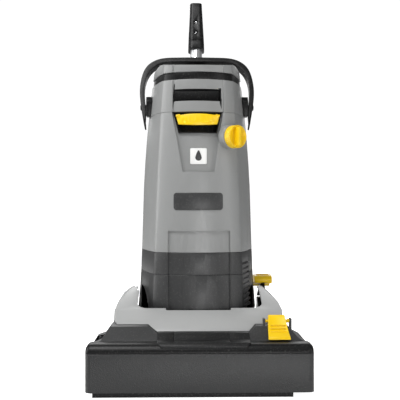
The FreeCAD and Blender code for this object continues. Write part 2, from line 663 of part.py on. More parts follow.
# ---------------------------------------------------------------- tank: lower and upper shell
PANEL = [(-43, TANK_SPLIT + 1), (-25, 334), (26, 334), (41, TANK_SPLIT + 1)]
PANEL_GROWN = [(-47, TANK_SPLIT + 1), (-28, 330), (29, 330), (45, TANK_SPLIT + 1)]
LATCH_POCKET = [(-41, TANK_SPLIT + 1), (-32, 397), (31, 397), (39, TANK_SPLIT + 1)]
LATCH_POCKET_GROWN = [(-45, TANK_SPLIT + 1), (-35, 393), (34, 393), (43, TANK_SPLIT + 1)]
PANEL_DEPTH, POCKET_DEPTH = 6.5, 20.0


def carved(points, depth):
    return hollow(prism_y(points, -120, -10), depth)


def knob_axis():
    turn = math.radians(KNOB_TURN)
    return V(KNOB_X, KNOB_Y, KNOB_Z), V(math.sin(turn), -math.cos(turn), 0)


def make_fresh_tank():
    low, high = RING_TOP + JOINT, TANK_SPLIT - JOINT / 2
    outer = tank_column(0, low, high)
    inner = tank_column(WALL, low + WALL, high - WALL)
    panel_wall = carved(PANEL_GROWN, PANEL_DEPTH + WALL)
    inner = inner.cut([panel_wall, carved(LATCH_POCKET_GROWN, POCKET_DEPTH + WALL)])
    tank = outer.cut([carved(PANEL, PANEL_DEPTH), carved(LATCH_POCKET, POCKET_DEPTH), channel()])
    centre, out = knob_axis()
    boss = rod(centre - out * 6, centre + out * 7, 20.0)
    boss = rounded(boss, 2.0, lambda e: (e.CenterOfMass - centre).dot(out) > 6)
    shaft_bore = rod(centre - out * 20, centre + out * 20, 5.0 + FIT)
    return joined([tank.cut(inner), boss.cut(tank_column(2.0, 340, 431))]).cut(shaft_bore)


def make_latch_recess():
    """Black liner behind and below the tank latch."""
    high = TANK_SPLIT - JOINT / 2
    inner_outline = [(-39.4, TANK_SPLIT + 1), (-30.6, 398.6), (29.6, 398.6), (37.4, TANK_SPLIT + 1)]
    outer = skin(PANEL_DEPTH - 3, POCKET_DEPTH, 390, high).common(prism_y(LATCH_POCKET, -120, -10))
    room = carved(inner_outline, POCKET_DEPTH - 1.6)
    pins = x_rod(-50, 50, TANK_LATCH_Y, TANK_LATCH_Z, 2.0 + FIT)
    return outer.cut([room, pins])


def make_tank_latch():
    """Yellow arched pull with a finger lip along its lower edge."""
    upper_arc = Part.Arc(V(-36, 0, 425.5), V(-0.5, 0, 428.6), V(35, 0, 425.5))
    lower_arc = Part.Arc(V(31, 0, 411.5), V(-0.5, 0, 410), V(-32, 0, 411.5))
    right_side = Part.makeLine(V(35, 0, 425.5), V(31, 0, 411.5))
    left_side = Part.makeLine(V(-32, 0, 411.5), V(-36, 0, 425.5))
    outline = Part.Wire([upper_arc.toShape(), right_side, lower_arc.toShape(), left_side])
    prism = Part.Face(outline).extrude(V(0, -120, 0))
    plate = skin(1.0, 6.5, 400, TANK_SPLIT).common(prism)
    ears = []
    for x in (-33.0, 28.5):
        ears.append(box(x, x + 3.5, -56, TANK_LATCH_Y + 2.5, TANK_LATCH_Z - 2.5, TANK_LATCH_Z + 2.5))
    pins = [x_rod(x0, x1, TANK_LATCH_Y, TANK_LATCH_Z, 2.0) for x0, x1 in ((-39.6, -30), (29, 38.2))]
    return joined([plate] + ears + pins)


GRIP_X0, GRIP_X1, GRIP_Z0, GRIP_Z1, GRIP_DEPTH = -39.0, 36.0, 450.0, 468.5, 26.0
RIDGE_X0, RIDGE_X1, RIDGE_DEPTH = -41.5, 42.0, 1.4


def ridge():
    return hollow(box(RIDGE_X0, RIDGE_X1, -120, -20, TANK_SPLIT - 5, 524), RIDGE_DEPTH)


def make_dirty_tank():
    low, high = TANK_SPLIT + JOINT / 2, BAND_BOTTOM
    outer = tank_column(0, low, high)
    inner = tank_column(WALL, low + WALL, high + 1)
    hand = box(GRIP_X0, GRIP_X1, -120, -60 + GRIP_DEPTH, GRIP_Z0, GRIP_Z1)
    hand = rounded(hand, 6.0, lambda e: along(e, AXIS_Y))
    hand_wall = box(GRIP_X0 - 3, GRIP_X1 + 3, -120, -57 + GRIP_DEPTH, GRIP_Z0 - 3, GRIP_Z1 + 3)
    return outer.cut(inner.cut(hand_wall)).cut([hand, ridge()])


def make_band():
    ring = tank_column(1.6, BAND_BOTTOM, BAND_TOP).cut(tank_column(6.0, BAND_BOTTOM - 1, BAND_TOP + 1))
    lugs = []
    for x in (-56.0, -36.0, 32.0, 52.0):
        lugs.append(box(x, x + 4, TANK_BACK - 3, LID_HINGE_Y + 2.5, 489, LID_HINGE_Z))
        lugs.append(x_rod(x, x + 4, LID_HINGE_Y, LID_HINGE_Z, 2.5))
    pins = [x_rod(x, x + 20, LID_HINGE_Y, LID_HINGE_Z, 1.5) for x in (-54.0, 34.0)]
    lid_room = box(-90, 90, 40, TANK_BACK + 0.5, BAND_TOP, 520)
    hinge_line = x_rod(-90, 90, LID_HINGE_Y, LID_HINGE_Z, 1.5)
    knuckle_room = [box(x, x + 16, 50, 70, LID_HINGE_Z - 5, 520).cut(hinge_line) for x in (-52.0, 36.0)]
    return joined([ring.cut(ridge())] + [lug.cut(lid_room) for lug in lugs] + pins).cut(knuckle_room)


def make_lid():
    bottom = BAND_TOP + JOINT
    dome = prism_x([
        (-80, bottom), (-80, 505), (-58, 508), (-30, 512.5), (10, 516), (40, LID_TOP), (50, LID_TOP),
        (57, 512), (58, bottom)], -100, 100)
    crown = prism_y([
        (-90, 490), (-90, 506), (-74, 511), (-60, 515), (0, LID_TOP + 1), (60, 515), (74, 511),
        (90, 506), (90, 490)], -100, 100)
    lid = tank_column(0, bottom, 525).common(dome).common(crown)
    lid = lid.cut([ridge(), tank_column(WALL, BAND_TOP, 504)])
    knuckles = []
    for x in (-51.6, 36.4):
        knuckles.append(x_rod(x, x + 15.2, LID_HINGE_Y, LID_HINGE_Z, 2.6))
        knuckles.append(box(x, x + 15.2, TANK_BACK - 2, LID_HINGE_Y, LID_HINGE_Z - 1, LID_HINGE_Z + 2.6))
    pin_bore = x_rod(-80, 80, LID_HINGE_Y, LID_HINGE_Z, 1.5 + FIT)
    return joined([lid] + knuckles).cut(pin_bore)


keep("fresh_water_tank", make_fresh_tank())
keep("latch_recess", make_latch_recess())
keep("tank_latch", make_tank_latch())
keep("dirty_water_tank", make_dirty_tank())
keep("lid_band", make_band())
keep("tank_lid", make_lid())


# ---------------------------------------------------------------- tank: bail, knob, plates, float
def bail_height(z):
    """Height in the upright bail that comes to z once the bail leans back."""
    return BAIL_Z + (z - BAIL_Z) / math.cos(math.radians(BAIL_LEAN))


def bail_face(points):
    """Smooth arch over both arms, closed across the bottom."""
    raised = [V(x, BAIL_Y, bail_height(z)) for x, z in points]
    curve = Part.BSplineCurve()
    curve.interpolate([V(-p.x, p.y, p.z) for p in raised] + list(reversed(raised)))
    return Part.Face(Part.Wire([curve.toShape(), Part.makeLine(curve.EndPoint, curve.StartPoint)]))


BAIL_OUTER = [(93.0, 424), (97.0, 445), (100.5, 474), (98.0, 502), (88.0, 525), (70.0, 537), (40.0, 541)]
BAIL_INNER = [(89.6, 424), (89.4, 445), (92.0, 474), (89.6, 500), (80.0, 519), (66.0, 529), (38.0, 533)]
BAIL_THICK = 17.0


def make_bail():
    thick = V(0, BAIL_THICK, 0)
    shape = bail_face(BAIL_OUTER).extrude(thick).cut(bail_face(BAIL_INNER).extrude(thick))
    shape = shape.translated(V(0, -BAIL_THICK / 2, 0))
    trim = box(-120, 120, BAIL_Y - 40, BAIL_Y + 40, bail_height(425), 600)
    shape = shape.common(trim)
    shape = turned(shape, V(0, BAIL_Y, BAIL_Z), AXIS_X, -BAIL_LEAN)
    return shape.cut(x_rod(-120, 120, BAIL_Y, BAIL_Z, 5.0 + FIT))


def make_bail_brackets():
    sides = []
    for sign in (-1, 1):
        pad = prism_x([(28, 434), (60, 434), (60, 462), (52, 468), (36, 468), (28, 460)], 70, 88.6)
        pad = pad.cut(tank_column(0, TANK_SPLIT - 20, BAND_BOTTOM + 5))
        pad = pad.cut(box(0, 120, TANK_BACK - 0.01, 80, 400, 480))
        pin = x_rod(82.0, 99.0, BAIL_Y, BAIL_Z, 5.0).cut(tank_column(0, 440, 460))
        side = joined([pad, pin])
        sides.append(side if sign > 0 else mirrored(side))
    return Part.makeCompound(sides)


def make_knob():
    centre, out = knob_axis()
    disc = rod(centre + out * 7.5, centre + out * 20, 17.0)
    disc = rounded(disc, 3.0, lambda e: (e.CenterOfMass - centre).dot(out) > 19)
    rib = box(-4.5, 4.5, -27, -16, -15.5, 15.5)
    rib = rounded(rib, 3.0, lambda e: e.CenterOfMass.y < -25)
    rib.rotate(V(0, 0, 0), AXIS_Z, KNOB_TURN)
    rib.translate(centre)
    stub = rod(centre - out * 14, centre + out * 8, 5.0)
    return joined([disc, rib, stub])


def rounded_plate(x0, x1, z0, z1, corner):
    block = box(x0, x1, -120, 0, z0, z1)
    return rounded(block, corner, lambda e: along(e, AXIS_Y))


keep("carry_bail", make_bail())
keep("bail_brackets", make_bail_brackets())
keep("dosing_knob", make_knob())
drop_plate = rounded_plate(-13, 14, 346.5, 372.5, 2.0).common(skin(PANEL_DEPTH - 0.9, PANEL_DEPTH, 330, 400))
keep("water_plate", drop_plate)
keep("nameplate", rounded_plate(-40, 40, 272, 300, 5.0).common(skin(-0.8, 0, 250, 320)))
keep("tank_float", rod(V(-30, 0, TANK_SPLIT + 6), V(-30, 0, 478), 13.0))


# ---------------------------------------------------------------- folding pole and grip
def pole_rod(z0, z1, radius):
    return rod(V(0, POLE_Y, z0), V(0, POLE_Y, z1), radius)


def pole_sleeve(z0, z1, outer, inner):
    return pole_rod(z0, z1, outer).cut(pole_rod(z0 - 1, z1 + 1, inner))


def make_knuckle():
    """Tongue on the fold pin and the sleeve that holds the pole."""
    disc = x_rod(-6.8, 6.8, HINGE_Y, HINGE_Z, 13.0)
    tongue = prism_x([
        (HINGE_Y - 11, HINGE_Z - 5), (HINGE_Y, HINGE_Z), (HINGE_Y + 12.9, HINGE_Z - 2), (POLE_Y + 9, 636),
        (POLE_Y + 9, 628), (POLE_Y - 9, 628)], -6.8, 6.8)
    solid = joined([disc, tongue, pole_rod(596, 636, COLLAR_R)])
    return solid.cut([pole_rod(590, POLE_TOP, POLE_R), x_rod(-20, 20, HINGE_Y, HINGE_Z, 4.0 + FIT)])


def grip_outline(inset):
    """Rounded D: neck at the top while folded, hand bar at the bottom."""
    half, low, shoulder = GRIP_HALF - inset, GRIP_BOTTOM + inset, 338.0 - inset * 0.8
    r = 22.0 - inset * 0.4
    k = r * (1 - math.sqrt(0.5))
    edges = []
    for sign in (1, -1):
        side, bend, turn_in = sign * half, sign * (half - k), sign * (half - r)
        lower = Part.Arc(V(side, 0, low + r), V(bend, 0, low + k), V(turn_in, 0, low))
        upper = Part.Arc(V(side, 0, shoulder - r), V(bend, 0, shoulder - k), V(turn_in, 0, shoulder))
        edges += [lower.toShape(), upper.toShape()]
        edges.append(Part.makeLine(V(side, 0, low + r), V(side, 0, shoulder - r)))
    edges.append(Part.makeLine(V(half - r, 0, low), V(-half + r, 0, low)))
    edges.append(Part.makeLine(V(half - r, 0, shoulder), V(-half + r, 0, shoulder)))
    return Part.Face(Part.Wire(Part.__sortEdges__(edges)))


def make_grip():
    half_depth = 11.4
    outer = grip_outline(0).extrude(V(0, 2 * half_depth, 0))
    gap = grip_outline(17.0).extrude(V(0, 2 * half_depth, 0))
    loop = outer.cut(gap).translated(V(0, POLE_Y - half_depth, 0))
    neck = pole_rod(326, GRIP_TOP, COLLAR_R)
    webs = [(-30, 330), (-15, 352), (-10, 380), (10, 380), (15, 352), (30, 330)]
    cheeks = prism_y(webs, POLE_Y - 10, POLE_Y + 10)
    switch_pocket = box(-7.5, 7.5, POLE_Y - 13, POLE_Y - 6.0, 353, 377)
    return joined([loop, neck, cheeks]).cut([pole_rod(380, 420, POLE_BORE - FIT), switch_pocket])


grip = make_grip()
keep("fold_knuckle", make_knuckle())
keep("pole_tube", pole_sleeve(POLE_BOTTOM, POLE_TOP, POLE_R, POLE_BORE))
keep("inner_tube", pole_rod(380, 600, POLE_BORE - FIT))
keep("lock_collar", pole_sleeve(POLE_BOTTOM + 1, POLE_BOTTOM + 30, COLLAR_R, POLE_R + FIT))
front_part = box(-100, 100, 100, POLE_Y, 200, 420)
keep("grip_front", grip.common(front_part))
keep("grip_back", grip.cut(front_part))


def make_switch():
    front, back = POLE_Y - 12.0, POLE_Y - 9
    face = [(front - 1.2, 375), (front + 0.4, 365), (front, 355)]
    return prism_x(face + [(back, 355.4), (back + 1, 365), (back, 374.6)], -7.0, 7.0)


keep("power_switch", make_switch())


# ---------------------------------------------------------------- write one file per piece
os.makedirs("parts", exist_ok=True)
for name, shape in parts.items():
    shape.exportStep(f"parts/{name}.step")
print(len(parts), "pieces")
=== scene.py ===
import json
import math

import bpy
from mathutils import Matrix, Vector

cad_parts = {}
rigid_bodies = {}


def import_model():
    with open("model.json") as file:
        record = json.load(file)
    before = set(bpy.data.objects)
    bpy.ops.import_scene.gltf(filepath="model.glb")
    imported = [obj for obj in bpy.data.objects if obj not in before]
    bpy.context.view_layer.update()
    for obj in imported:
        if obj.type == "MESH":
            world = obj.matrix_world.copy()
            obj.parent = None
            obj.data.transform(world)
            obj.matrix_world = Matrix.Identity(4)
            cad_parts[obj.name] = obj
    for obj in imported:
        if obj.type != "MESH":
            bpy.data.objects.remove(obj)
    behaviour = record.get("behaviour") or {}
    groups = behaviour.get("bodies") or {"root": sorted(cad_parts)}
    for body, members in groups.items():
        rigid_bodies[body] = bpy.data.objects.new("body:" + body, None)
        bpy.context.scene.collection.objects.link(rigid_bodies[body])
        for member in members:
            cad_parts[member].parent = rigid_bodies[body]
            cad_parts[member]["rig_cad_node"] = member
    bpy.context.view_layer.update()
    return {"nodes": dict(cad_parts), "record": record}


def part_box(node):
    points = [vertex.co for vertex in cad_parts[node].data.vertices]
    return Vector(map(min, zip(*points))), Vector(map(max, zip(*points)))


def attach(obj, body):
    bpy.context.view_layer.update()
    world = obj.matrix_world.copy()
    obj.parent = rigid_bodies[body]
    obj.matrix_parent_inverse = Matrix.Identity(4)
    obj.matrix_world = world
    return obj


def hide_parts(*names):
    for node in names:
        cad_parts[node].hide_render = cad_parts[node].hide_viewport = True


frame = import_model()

bpy.ops.object.select_all(action="DESELECT")

# ---------------------------------------------------------------- camera and studio
# The machine is seen straight from the front at knee height, from a little over a metre.
# Tall soft boxes stand at both sides and one hangs overhead, in front of a plain white wall.
# A low strip lifts the shadows at the front, and a wide box lights the back.
TURN_RIGHT = math.radians(1.245)
ROOM_LIGHT, ROOM_SEEN = 0.17, 1.05
camera_data = bpy.data.cameras.new("camera")
camera_data.lens = 71.3
camera_data.sensor_width = 36.0
camera = bpy.data.objects.new("camera", camera_data)
bpy.context.collection.objects.link(camera)
camera.location = (-0.025, -1.345, 0.2883)
camera.rotation_euler = (math.radians(90), 0, -TURN_RIGHT)
bpy.context.scene.camera = camera
bpy.context.scene.view_settings.view_transform = "Standard"

room = bpy.data.worlds.new("white wall")
bpy.context.scene.world = room
room.use_nodes = True
wall = room.node_tree.nodes["Background"]
wall.inputs["Color"].default_value = (1, 1, 1, 1)
seen_directly = room.node_tree.nodes.new("ShaderNodeLightPath").outputs["Is Camera Ray"]
dim_room = room.node_tree.nodes.new("ShaderNodeMapRange")
dim_room.inputs["To Min"].default_value = ROOM_LIGHT
dim_room.inputs["To Max"].default_value = ROOM_SEEN
room.node_tree.links.new(seen_directly, dim_room.inputs["Value"])
room.node_tree.links.new(dim_room.outputs[0], wall.inputs["Strength"])


def soft_box(name, place, aim, width, height, watts):
    light = bpy.data.lights.new(name, "AREA")
    light.shape = "RECTANGLE"
    light.size = width
    light.size_y = height
    light.energy = watts
    lamp = bpy.data.objects.new(name, light)
    bpy.context.collection.objects.link(lamp)
    lamp.location = place
    lamp.rotation_euler = (Vector(aim) - Vector(place)).to_track_quat("-Z", "Y").to_euler()


soft_box("left box", place=(-1.6, 0.05, 0.6), aim=(0, 0, 0.3), width=0.5, height=1.3, watts=13)
soft_box("right box", place=(1.35, -0.9, 0.6), aim=(0, 0, 0.25), width=0.35, height=1.3, watts=6)
soft_box("top box", place=(-0.6, -0.75, 1.9), aim=(0, 0, 0), width=1.1, height=0.6, watts=34)
soft_box("low front fill", place=(0.25, -1.7, 0.10), aim=(0, 0, 0.05), width=0.5, height=0.12, watts=7)
soft_box("back box", place=(0, 2.0, 1.2), aim=(0, 0, 0.4), width=2.0, height=1.2, watts=18)

# ---------------------------------------------------------------- floor
# A plain pale studio floor, large enough to fade into the wall from any side.
# It glows a little, and more so where it is seen directly, so that it is as white as the wall.
FLOOR_LENGTH = 30
FLOOR_LIGHT, FLOOR_SEEN = 0.06, 0.95
bpy.ops.mesh.primitive_plane_add(size=FLOOR_LENGTH, location=(0, 0, 0))
floor = bpy.context.object
floor.name = "floor"
floor_paint = bpy.data.materials.new("studio floor")
floor_paint.use_nodes = True
floor_shader = floor_paint.node_tree.nodes["Principled BSDF"]
floor_shader.inputs["Base Color"].default_value = (0.93, 0.93, 0.93, 1)
floor_shader.inputs["Roughness"].default_value = 0.7
floor_shader.inputs["Emission Color"].default_value = (1, 1, 1, 1)
glow = floor_paint.node_tree.nodes.new("ShaderNodeMapRange")
glow.inputs["To Min"].default_value = FLOOR_LIGHT
glow.inputs["To Max"].default_value = FLOOR_SEEN
floor_seen = floor_paint.node_tree.nodes.new("ShaderNodeLightPath").outputs["Is Camera Ray"]
floor_paint.node_tree.links.new(floor_seen, glow.inputs["Value"])
floor_paint.node_tree.links.new(glow.outputs[0], floor_shader.inputs["Emission Strength"])
floor.data.materials.append(floor_paint)


# ---------------------------------------------------------------- front bumper
# A thick black moulding across the full width, with a coarse spark-eroded face that hides scrapes.
# Its rolled upper edge is left smooth, and it hooks over the front of the brush hood.
# The surface effects that every moulding shares are made here: grain, uneven colour, rubbed edges.
nodes = frame["nodes"]
body_of = {}
for body, names in frame["record"]["behaviour"]["bodies"].items():
    body_of.update((node, body) for node in names)
FLOAT, COLOR, VECTOR = "NodeSocketFloat", "NodeSocketColor", "NodeSocketVector"


def new_group(name, inputs, outputs):
    group = bpy.data.node_groups.new(name, "ShaderNodeTree")
    for label, kind, value in inputs:
        socket = group.interface.new_socket(name=label, in_out="INPUT", socket_type=kind)
        socket.default_value = value
    for label, kind in outputs:
        group.interface.new_socket(name=label, in_out="OUTPUT", socket_type=kind)
    return group, group.nodes.new("NodeGroupInput"), group.nodes.new("NodeGroupOutput")


def math_node(tree, operation, a, b, clamp=False):
    node = tree.nodes.new("ShaderNodeMath")
    node.operation = operation
    node.use_clamp = clamp
    for socket, value in zip(node.inputs, (a, b)):
        if isinstance(value, (int, float)):
            socket.default_value = value
        else:
            tree.links.new(value, socket)
    return node.outputs[0]


def mix_colors(tree, factor, a, b):
    node = tree.nodes.new("ShaderNodeMix")
    node.data_type = "RGBA"
    for socket, value in ((node.inputs[0], factor), (node.inputs[6], a), (node.inputs[7], b)):
        if isinstance(value, (int, float, tuple)):
            socket.default_value = value
        else:
            tree.links.new(value, socket)
    return node.outputs[2]


def place_texture(tree, kind, scale, detail=None):
    texture = tree.nodes.new(kind)
    tree.links.new(tree.nodes.new("ShaderNodeTexCoord").outputs["Object"], texture.inputs["Vector"])
    if isinstance(scale, (int, float)):
        texture.inputs["Scale"].default_value = scale
    else:
        tree.links.new(scale, texture.inputs["Scale"])
    if detail is not None:
        texture.inputs["Detail"].default_value = detail
    return texture


# Grain: fine noise with the round pores of a spark-eroded mould over it.
grain_group, grain_in, grain_out = new_group(
    "moulding grain",
    [("Cells per metre", FLOAT, 900.0), ("Coarse share", FLOAT, 0.3)],
    [("Height", FLOAT), ("Pores", FLOAT)])
cells = grain_in.outputs["Cells per metre"]
fine = place_texture(grain_group, "ShaderNodeTexNoise", cells, detail=3.0)
pores = place_texture(grain_group, "ShaderNodeTexVoronoi", cells)
coarse = math_node(grain_group, "MULTIPLY", pores.outputs["Distance"], grain_in.outputs["Coarse share"])
height = math_node(grain_group, "ADD", fine.outputs["Fac"], coarse)
grain_group.links.new(height, grain_out.inputs["Height"])
grain_group.links.new(pores.outputs["Distance"], grain_out.inputs["Pores"])

# Uneven colour: broad patches, a hand wide, and specks of dust where a finer noise peaks.
PATCHES_PER_METRE, SPECKS_PER_METRE = 14.0, 420.0
SPECK_LEVEL, SPECK_SHARPNESS = 0.56, 6.0
PATCH_ROUGHNESS = 0.6
cloud_group, cloud_in, cloud_out = new_group(
    "uneven colour",
    [("Color", COLOR, (0.5, 0.5, 0.5, 1)), ("Amount", FLOAT, 0.1), ("Dust", FLOAT, 0.1),
     ("Dust color", COLOR, (0.5, 0.49, 0.47, 1))],
    [("Color", COLOR), ("Roughness shift", FLOAT)])
cloud = place_texture(cloud_group, "ShaderNodeTexNoise", PATCHES_PER_METRE, detail=5.0)
specks = place_texture(cloud_group, "ShaderNodeTexNoise", SPECKS_PER_METRE, detail=2.0)
centred = math_node(cloud_group, "SUBTRACT", cloud.outputs["Fac"], 0.5)
patchy = math_node(cloud_group, "MULTIPLY", centred, cloud_in.outputs["Amount"])
tinted = cloud_group.nodes.new("ShaderNodeVectorMath")
tinted.operation = "SCALE"
cloud_group.links.new(cloud_in.outputs["Color"], tinted.inputs[0])
cloud_group.links.new(math_node(cloud_group, "ADD", patchy, 1.0), tinted.inputs["Scale"])
sparse = math_node(cloud_group, "SUBTRACT", specks.outputs["Fac"], SPECK_LEVEL)
spotted = math_node(cloud_group, "MULTIPLY", sparse, SPECK_SHARPNESS, clamp=True)
dusty = math_node(cloud_group, "MULTIPLY", spotted, cloud_in.outputs["Dust"])
dusted = mix_colors(cloud_group, dusty, tinted.outputs[0], cloud_in.outputs["Dust color"])
cloud_group.links.new(dusted, cloud_out.inputs["Color"])
shift = math_node(cloud_group, "MULTIPLY", patchy, PATCH_ROUGHNESS)
cloud_group.links.new(shift, cloud_out.inputs["Roughness shift"])

# Rubbed edges: where the rolled normal leaves the true one, a scuffed lighter colour comes through.
EDGE_SHARPNESS, SCUFFS_PER_METRE, BEVEL_SAMPLES = 7.0, 160.0, 4
rub_group, rub_in, rub_out = new_group(
    "rubbed edges",
    [("Color", COLOR, (0.5, 0.5, 0.5, 1)), ("Rubbed color", COLOR, (0.7, 0.7, 0.7, 1)),
     ("Radius", FLOAT, 0.0012), ("Amount", FLOAT, 0.4)],
    [("Color", COLOR), ("Normal", VECTOR)])
rolled = rub_group.nodes.new("ShaderNodeBevel")
rolled.samples = BEVEL_SAMPLES
rub_group.links.new(rub_in.outputs["Radius"], rolled.inputs["Radius"])
agree = rub_group.nodes.new("ShaderNodeVectorMath")
agree.operation = "DOT_PRODUCT"
rub_group.links.new(rolled.outputs[0], agree.inputs[0])
rub_group.links.new(rub_group.nodes.new("ShaderNodeNewGeometry").outputs["Normal"], agree.inputs[1])
turned_away = math_node(rub_group, "SUBTRACT", 1.0, agree.outputs["Value"])
edge = math_node(rub_group, "MULTIPLY", turned_away, EDGE_SHARPNESS, clamp=True)
scuff = place_texture(rub_group, "ShaderNodeTexNoise", SCUFFS_PER_METRE)
scuffed = math_node(rub_group, "MULTIPLY", scuff.outputs["Fac"], rub_in.outputs["Amount"])
worn = math_node(rub_group, "MULTIPLY", edge, scuffed, clamp=True)
shown = mix_colors(rub_group, worn, rub_in.outputs["Color"], rub_in.outputs["Rubbed color"])
rub_group.links.new(shown, rub_out.inputs["Color"])
rub_group.links.new(rolled.outputs[0], rub_out.inputs["Normal"])


def place_group(tree, group, **values):
    node = tree.nodes.new("ShaderNodeGroup")
    node.node_tree = group
    for label, value in values.items():
        node.inputs[label.replace("_", " ")].default_value = value
    return node


def moulded(name, color, rubbed, roughness, cells, depth, coarse_share=0.3, patchiness=0.1, dust=0.05,
            edge_amount=0.35, specular=0.5):
    """Moulded plastic or rubber: colour, grain, patchiness and rubbed edges in one material."""
    edge_radius, pore_roughness = 0.0010, 0.12
    material = bpy.data.materials.new(name)
    material.use_nodes = True
    tree = material.node_tree
    shader = tree.nodes["Principled BSDF"]
    shader.inputs["Specular IOR Level"].default_value = specular
    grain = place_group(tree, grain_group, Cells_per_metre=cells, Coarse_share=coarse_share)
    uneven = place_group(tree, cloud_group, Color=(*color, 1), Amount=patchiness, Dust=dust)
    edges = place_group(tree, rub_group, Rubbed_color=(*rubbed, 1), Radius=edge_radius, Amount=edge_amount)
    tree.links.new(uneven.outputs["Color"], edges.inputs["Color"])
    tree.links.new(edges.outputs["Color"], shader.inputs["Base Color"])
    bump = tree.nodes.new("ShaderNodeBump")
    bump.inputs["Distance"].default_value = depth
    tree.links.new(grain.outputs["Height"], bump.inputs["Height"])
    tree.links.new(edges.outputs["Normal"], bump.inputs["Normal"])
    tree.links.new(bump.outputs["Normal"], shader.inputs["Normal"])
    shift = math_node(tree, "ADD", uneven.outputs["Roughness shift"], roughness)
    pored = math_node(tree, "MULTIPLY", grain.outputs["Pores"], pore_roughness)
    tree.links.new(math_node(tree, "ADD", shift, pored, clamp=True), shader.inputs["Roughness"])
    return material


def paint(piece, material):
    piece.data.materials.clear()
    piece.data.materials.append(material)


SMOOTH_ANGLE = math.radians(35)


def copy_of(node, material):
    """Copy of a CAD moulding, merged and with its flat faces whole again, that stands for the plain one."""
    bpy.ops.object.select_all(action="DESELECT")
    bpy.context.view_layer.objects.active = nodes[node]
    nodes[node].select_set(True)
    bpy.ops.object.duplicate()
    piece = bpy.context.object
    del piece["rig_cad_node"]
    piece.name = node + "_moulding"
    bpy.ops.object.mode_set(mode="EDIT")
    bpy.ops.mesh.select_all(action="SELECT")
    bpy.ops.mesh.remove_doubles(threshold=0.00001)
    bpy.ops.mesh.dissolve_limited(angle_limit=math.radians(1))
    bpy.ops.object.mode_set(mode="OBJECT")
    paint(piece, material)
    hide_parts(node)
    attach(piece, body_of[node])
    return piece


def round_off(piece, width, segments=2, angle=30.0):
    """Roll every corner sharper than the angle, and shade what is left smooth."""
    rounding = piece.modifiers.new("rounding", "BEVEL")
    rounding.width = width
    rounding.segments = segments
    rounding.limit_method = "ANGLE"
    rounding.angle_limit = math.radians(angle)
    bpy.context.view_layer.objects.active = piece
    bpy.ops.object.modifier_apply(modifier="rounding")
    bpy.ops.object.shade_smooth_by_angle(angle=SMOOTH_ANGLE)
    return piece


def pick_faces(piece, wanted):
    """Select the faces that the test accepts by centre and normal, and stay in edit mode."""
    bpy.ops.object.mode_set(mode="EDIT")
    bpy.ops.mesh.select_mode(type="FACE")
    bpy.ops.mesh.select_all(action="DESELECT")
    bpy.ops.object.mode_set(mode="OBJECT")
    for face in piece.data.polygons:
        face.select = wanted(face.center, face.normal)
    bpy.ops.object.mode_set(mode="EDIT")


def cut_across(piece, point, normal):
    """Draw one straight line of edges round the piece."""
    bpy.ops.object.mode_set(mode="EDIT")
    bpy.ops.mesh.select_all(action="SELECT")
    bpy.ops.mesh.bisect(plane_co=point, plane_no=normal)
    bpy.ops.object.mode_set(mode="OBJECT")


black = moulded("black moulding", color=(0.0045, 0.0046, 0.0048), rubbed=(0.035, 0.035, 0.035),
                roughness=0.34, cells=1000, depth=0.00004, specular=0.22)
bumper_black = moulded("coarse grained black", color=(0.012, 0.0124, 0.0128), rubbed=(0.07, 0.07, 0.07),
                       roughness=0.36, cells=620, depth=0.00026, coarse_share=1.1, dust=0.02)
bumper = copy_of("front_bumper", bumper_black)
GRAIN_TOP, GROOVE_HEIGHT, GROOVE_DEPTH = 0.0642, 0.0009, 0.0007
GROOVE_TOP = GRAIN_TOP + GROOVE_HEIGHT
for height in (GRAIN_TOP, GROOVE_TOP):
    cut_across(bumper, (0, 0, height), (0, 0, 1))
front_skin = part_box("front_bumper")[0][1] + 0.003
pick_faces(bumper, lambda c, n: GRAIN_TOP < c.z < GROOVE_TOP and c.y < front_skin and n.y < -0.5)
bpy.ops.transform.translate(value=(0, GROOVE_DEPTH, 0))
bpy.ops.object.mode_set(mode="OBJECT")
round_off(bumper, 0.0006)
bumper.data.materials.append(black)
for face in bumper.data.polygons:
    face.material_index = 1 if face.center.z > GRAIN_TOP else 0

# ---------------------------------------------------------------- brush hood and hatch
# The hood is one charcoal moulding over the roller, stepped down in the middle for the hatch.
# The hatch gives access to the spray bar; it is clipped in and wraps over the bumper's edge.
dark_grey = moulded("charcoal moulding", color=(0.024, 0.0245, 0.025), rubbed=(0.09, 0.09, 0.09),
                    roughness=0.38, cells=1100, depth=0.00005)
round_off(copy_of("brush_hood", dark_grey), 0.0009)
hatch_grey = moulded("hatch moulding", color=(0.010, 0.0102, 0.0105), rubbed=(0.06, 0.06, 0.06),
                     roughness=0.4, cells=1100, depth=0.00005, specular=0.22)
round_off(copy_of("front_hatch", hatch_grey), 0.0004)

# ---------------------------------------------------------------- saddle cover
# A grey shell that straddles the belly of the body and hides both side arms.
# Its corners are generously rolled, and the opening for the body has a notch in its front edge.
# The saddle is the tank's grey plastic, painted paler here as painted light for the light falling on it.
saddle_lit_grey = moulded("saddle lit grey moulding", color=(0.335, 0.339, 0.337), rubbed=(0.48, 0.48, 0.48),
                    roughness=0.33, cells=1400, depth=0.00003, patchiness=0.12, dust=0.02)
saddle = copy_of("head_cover", saddle_lit_grey)


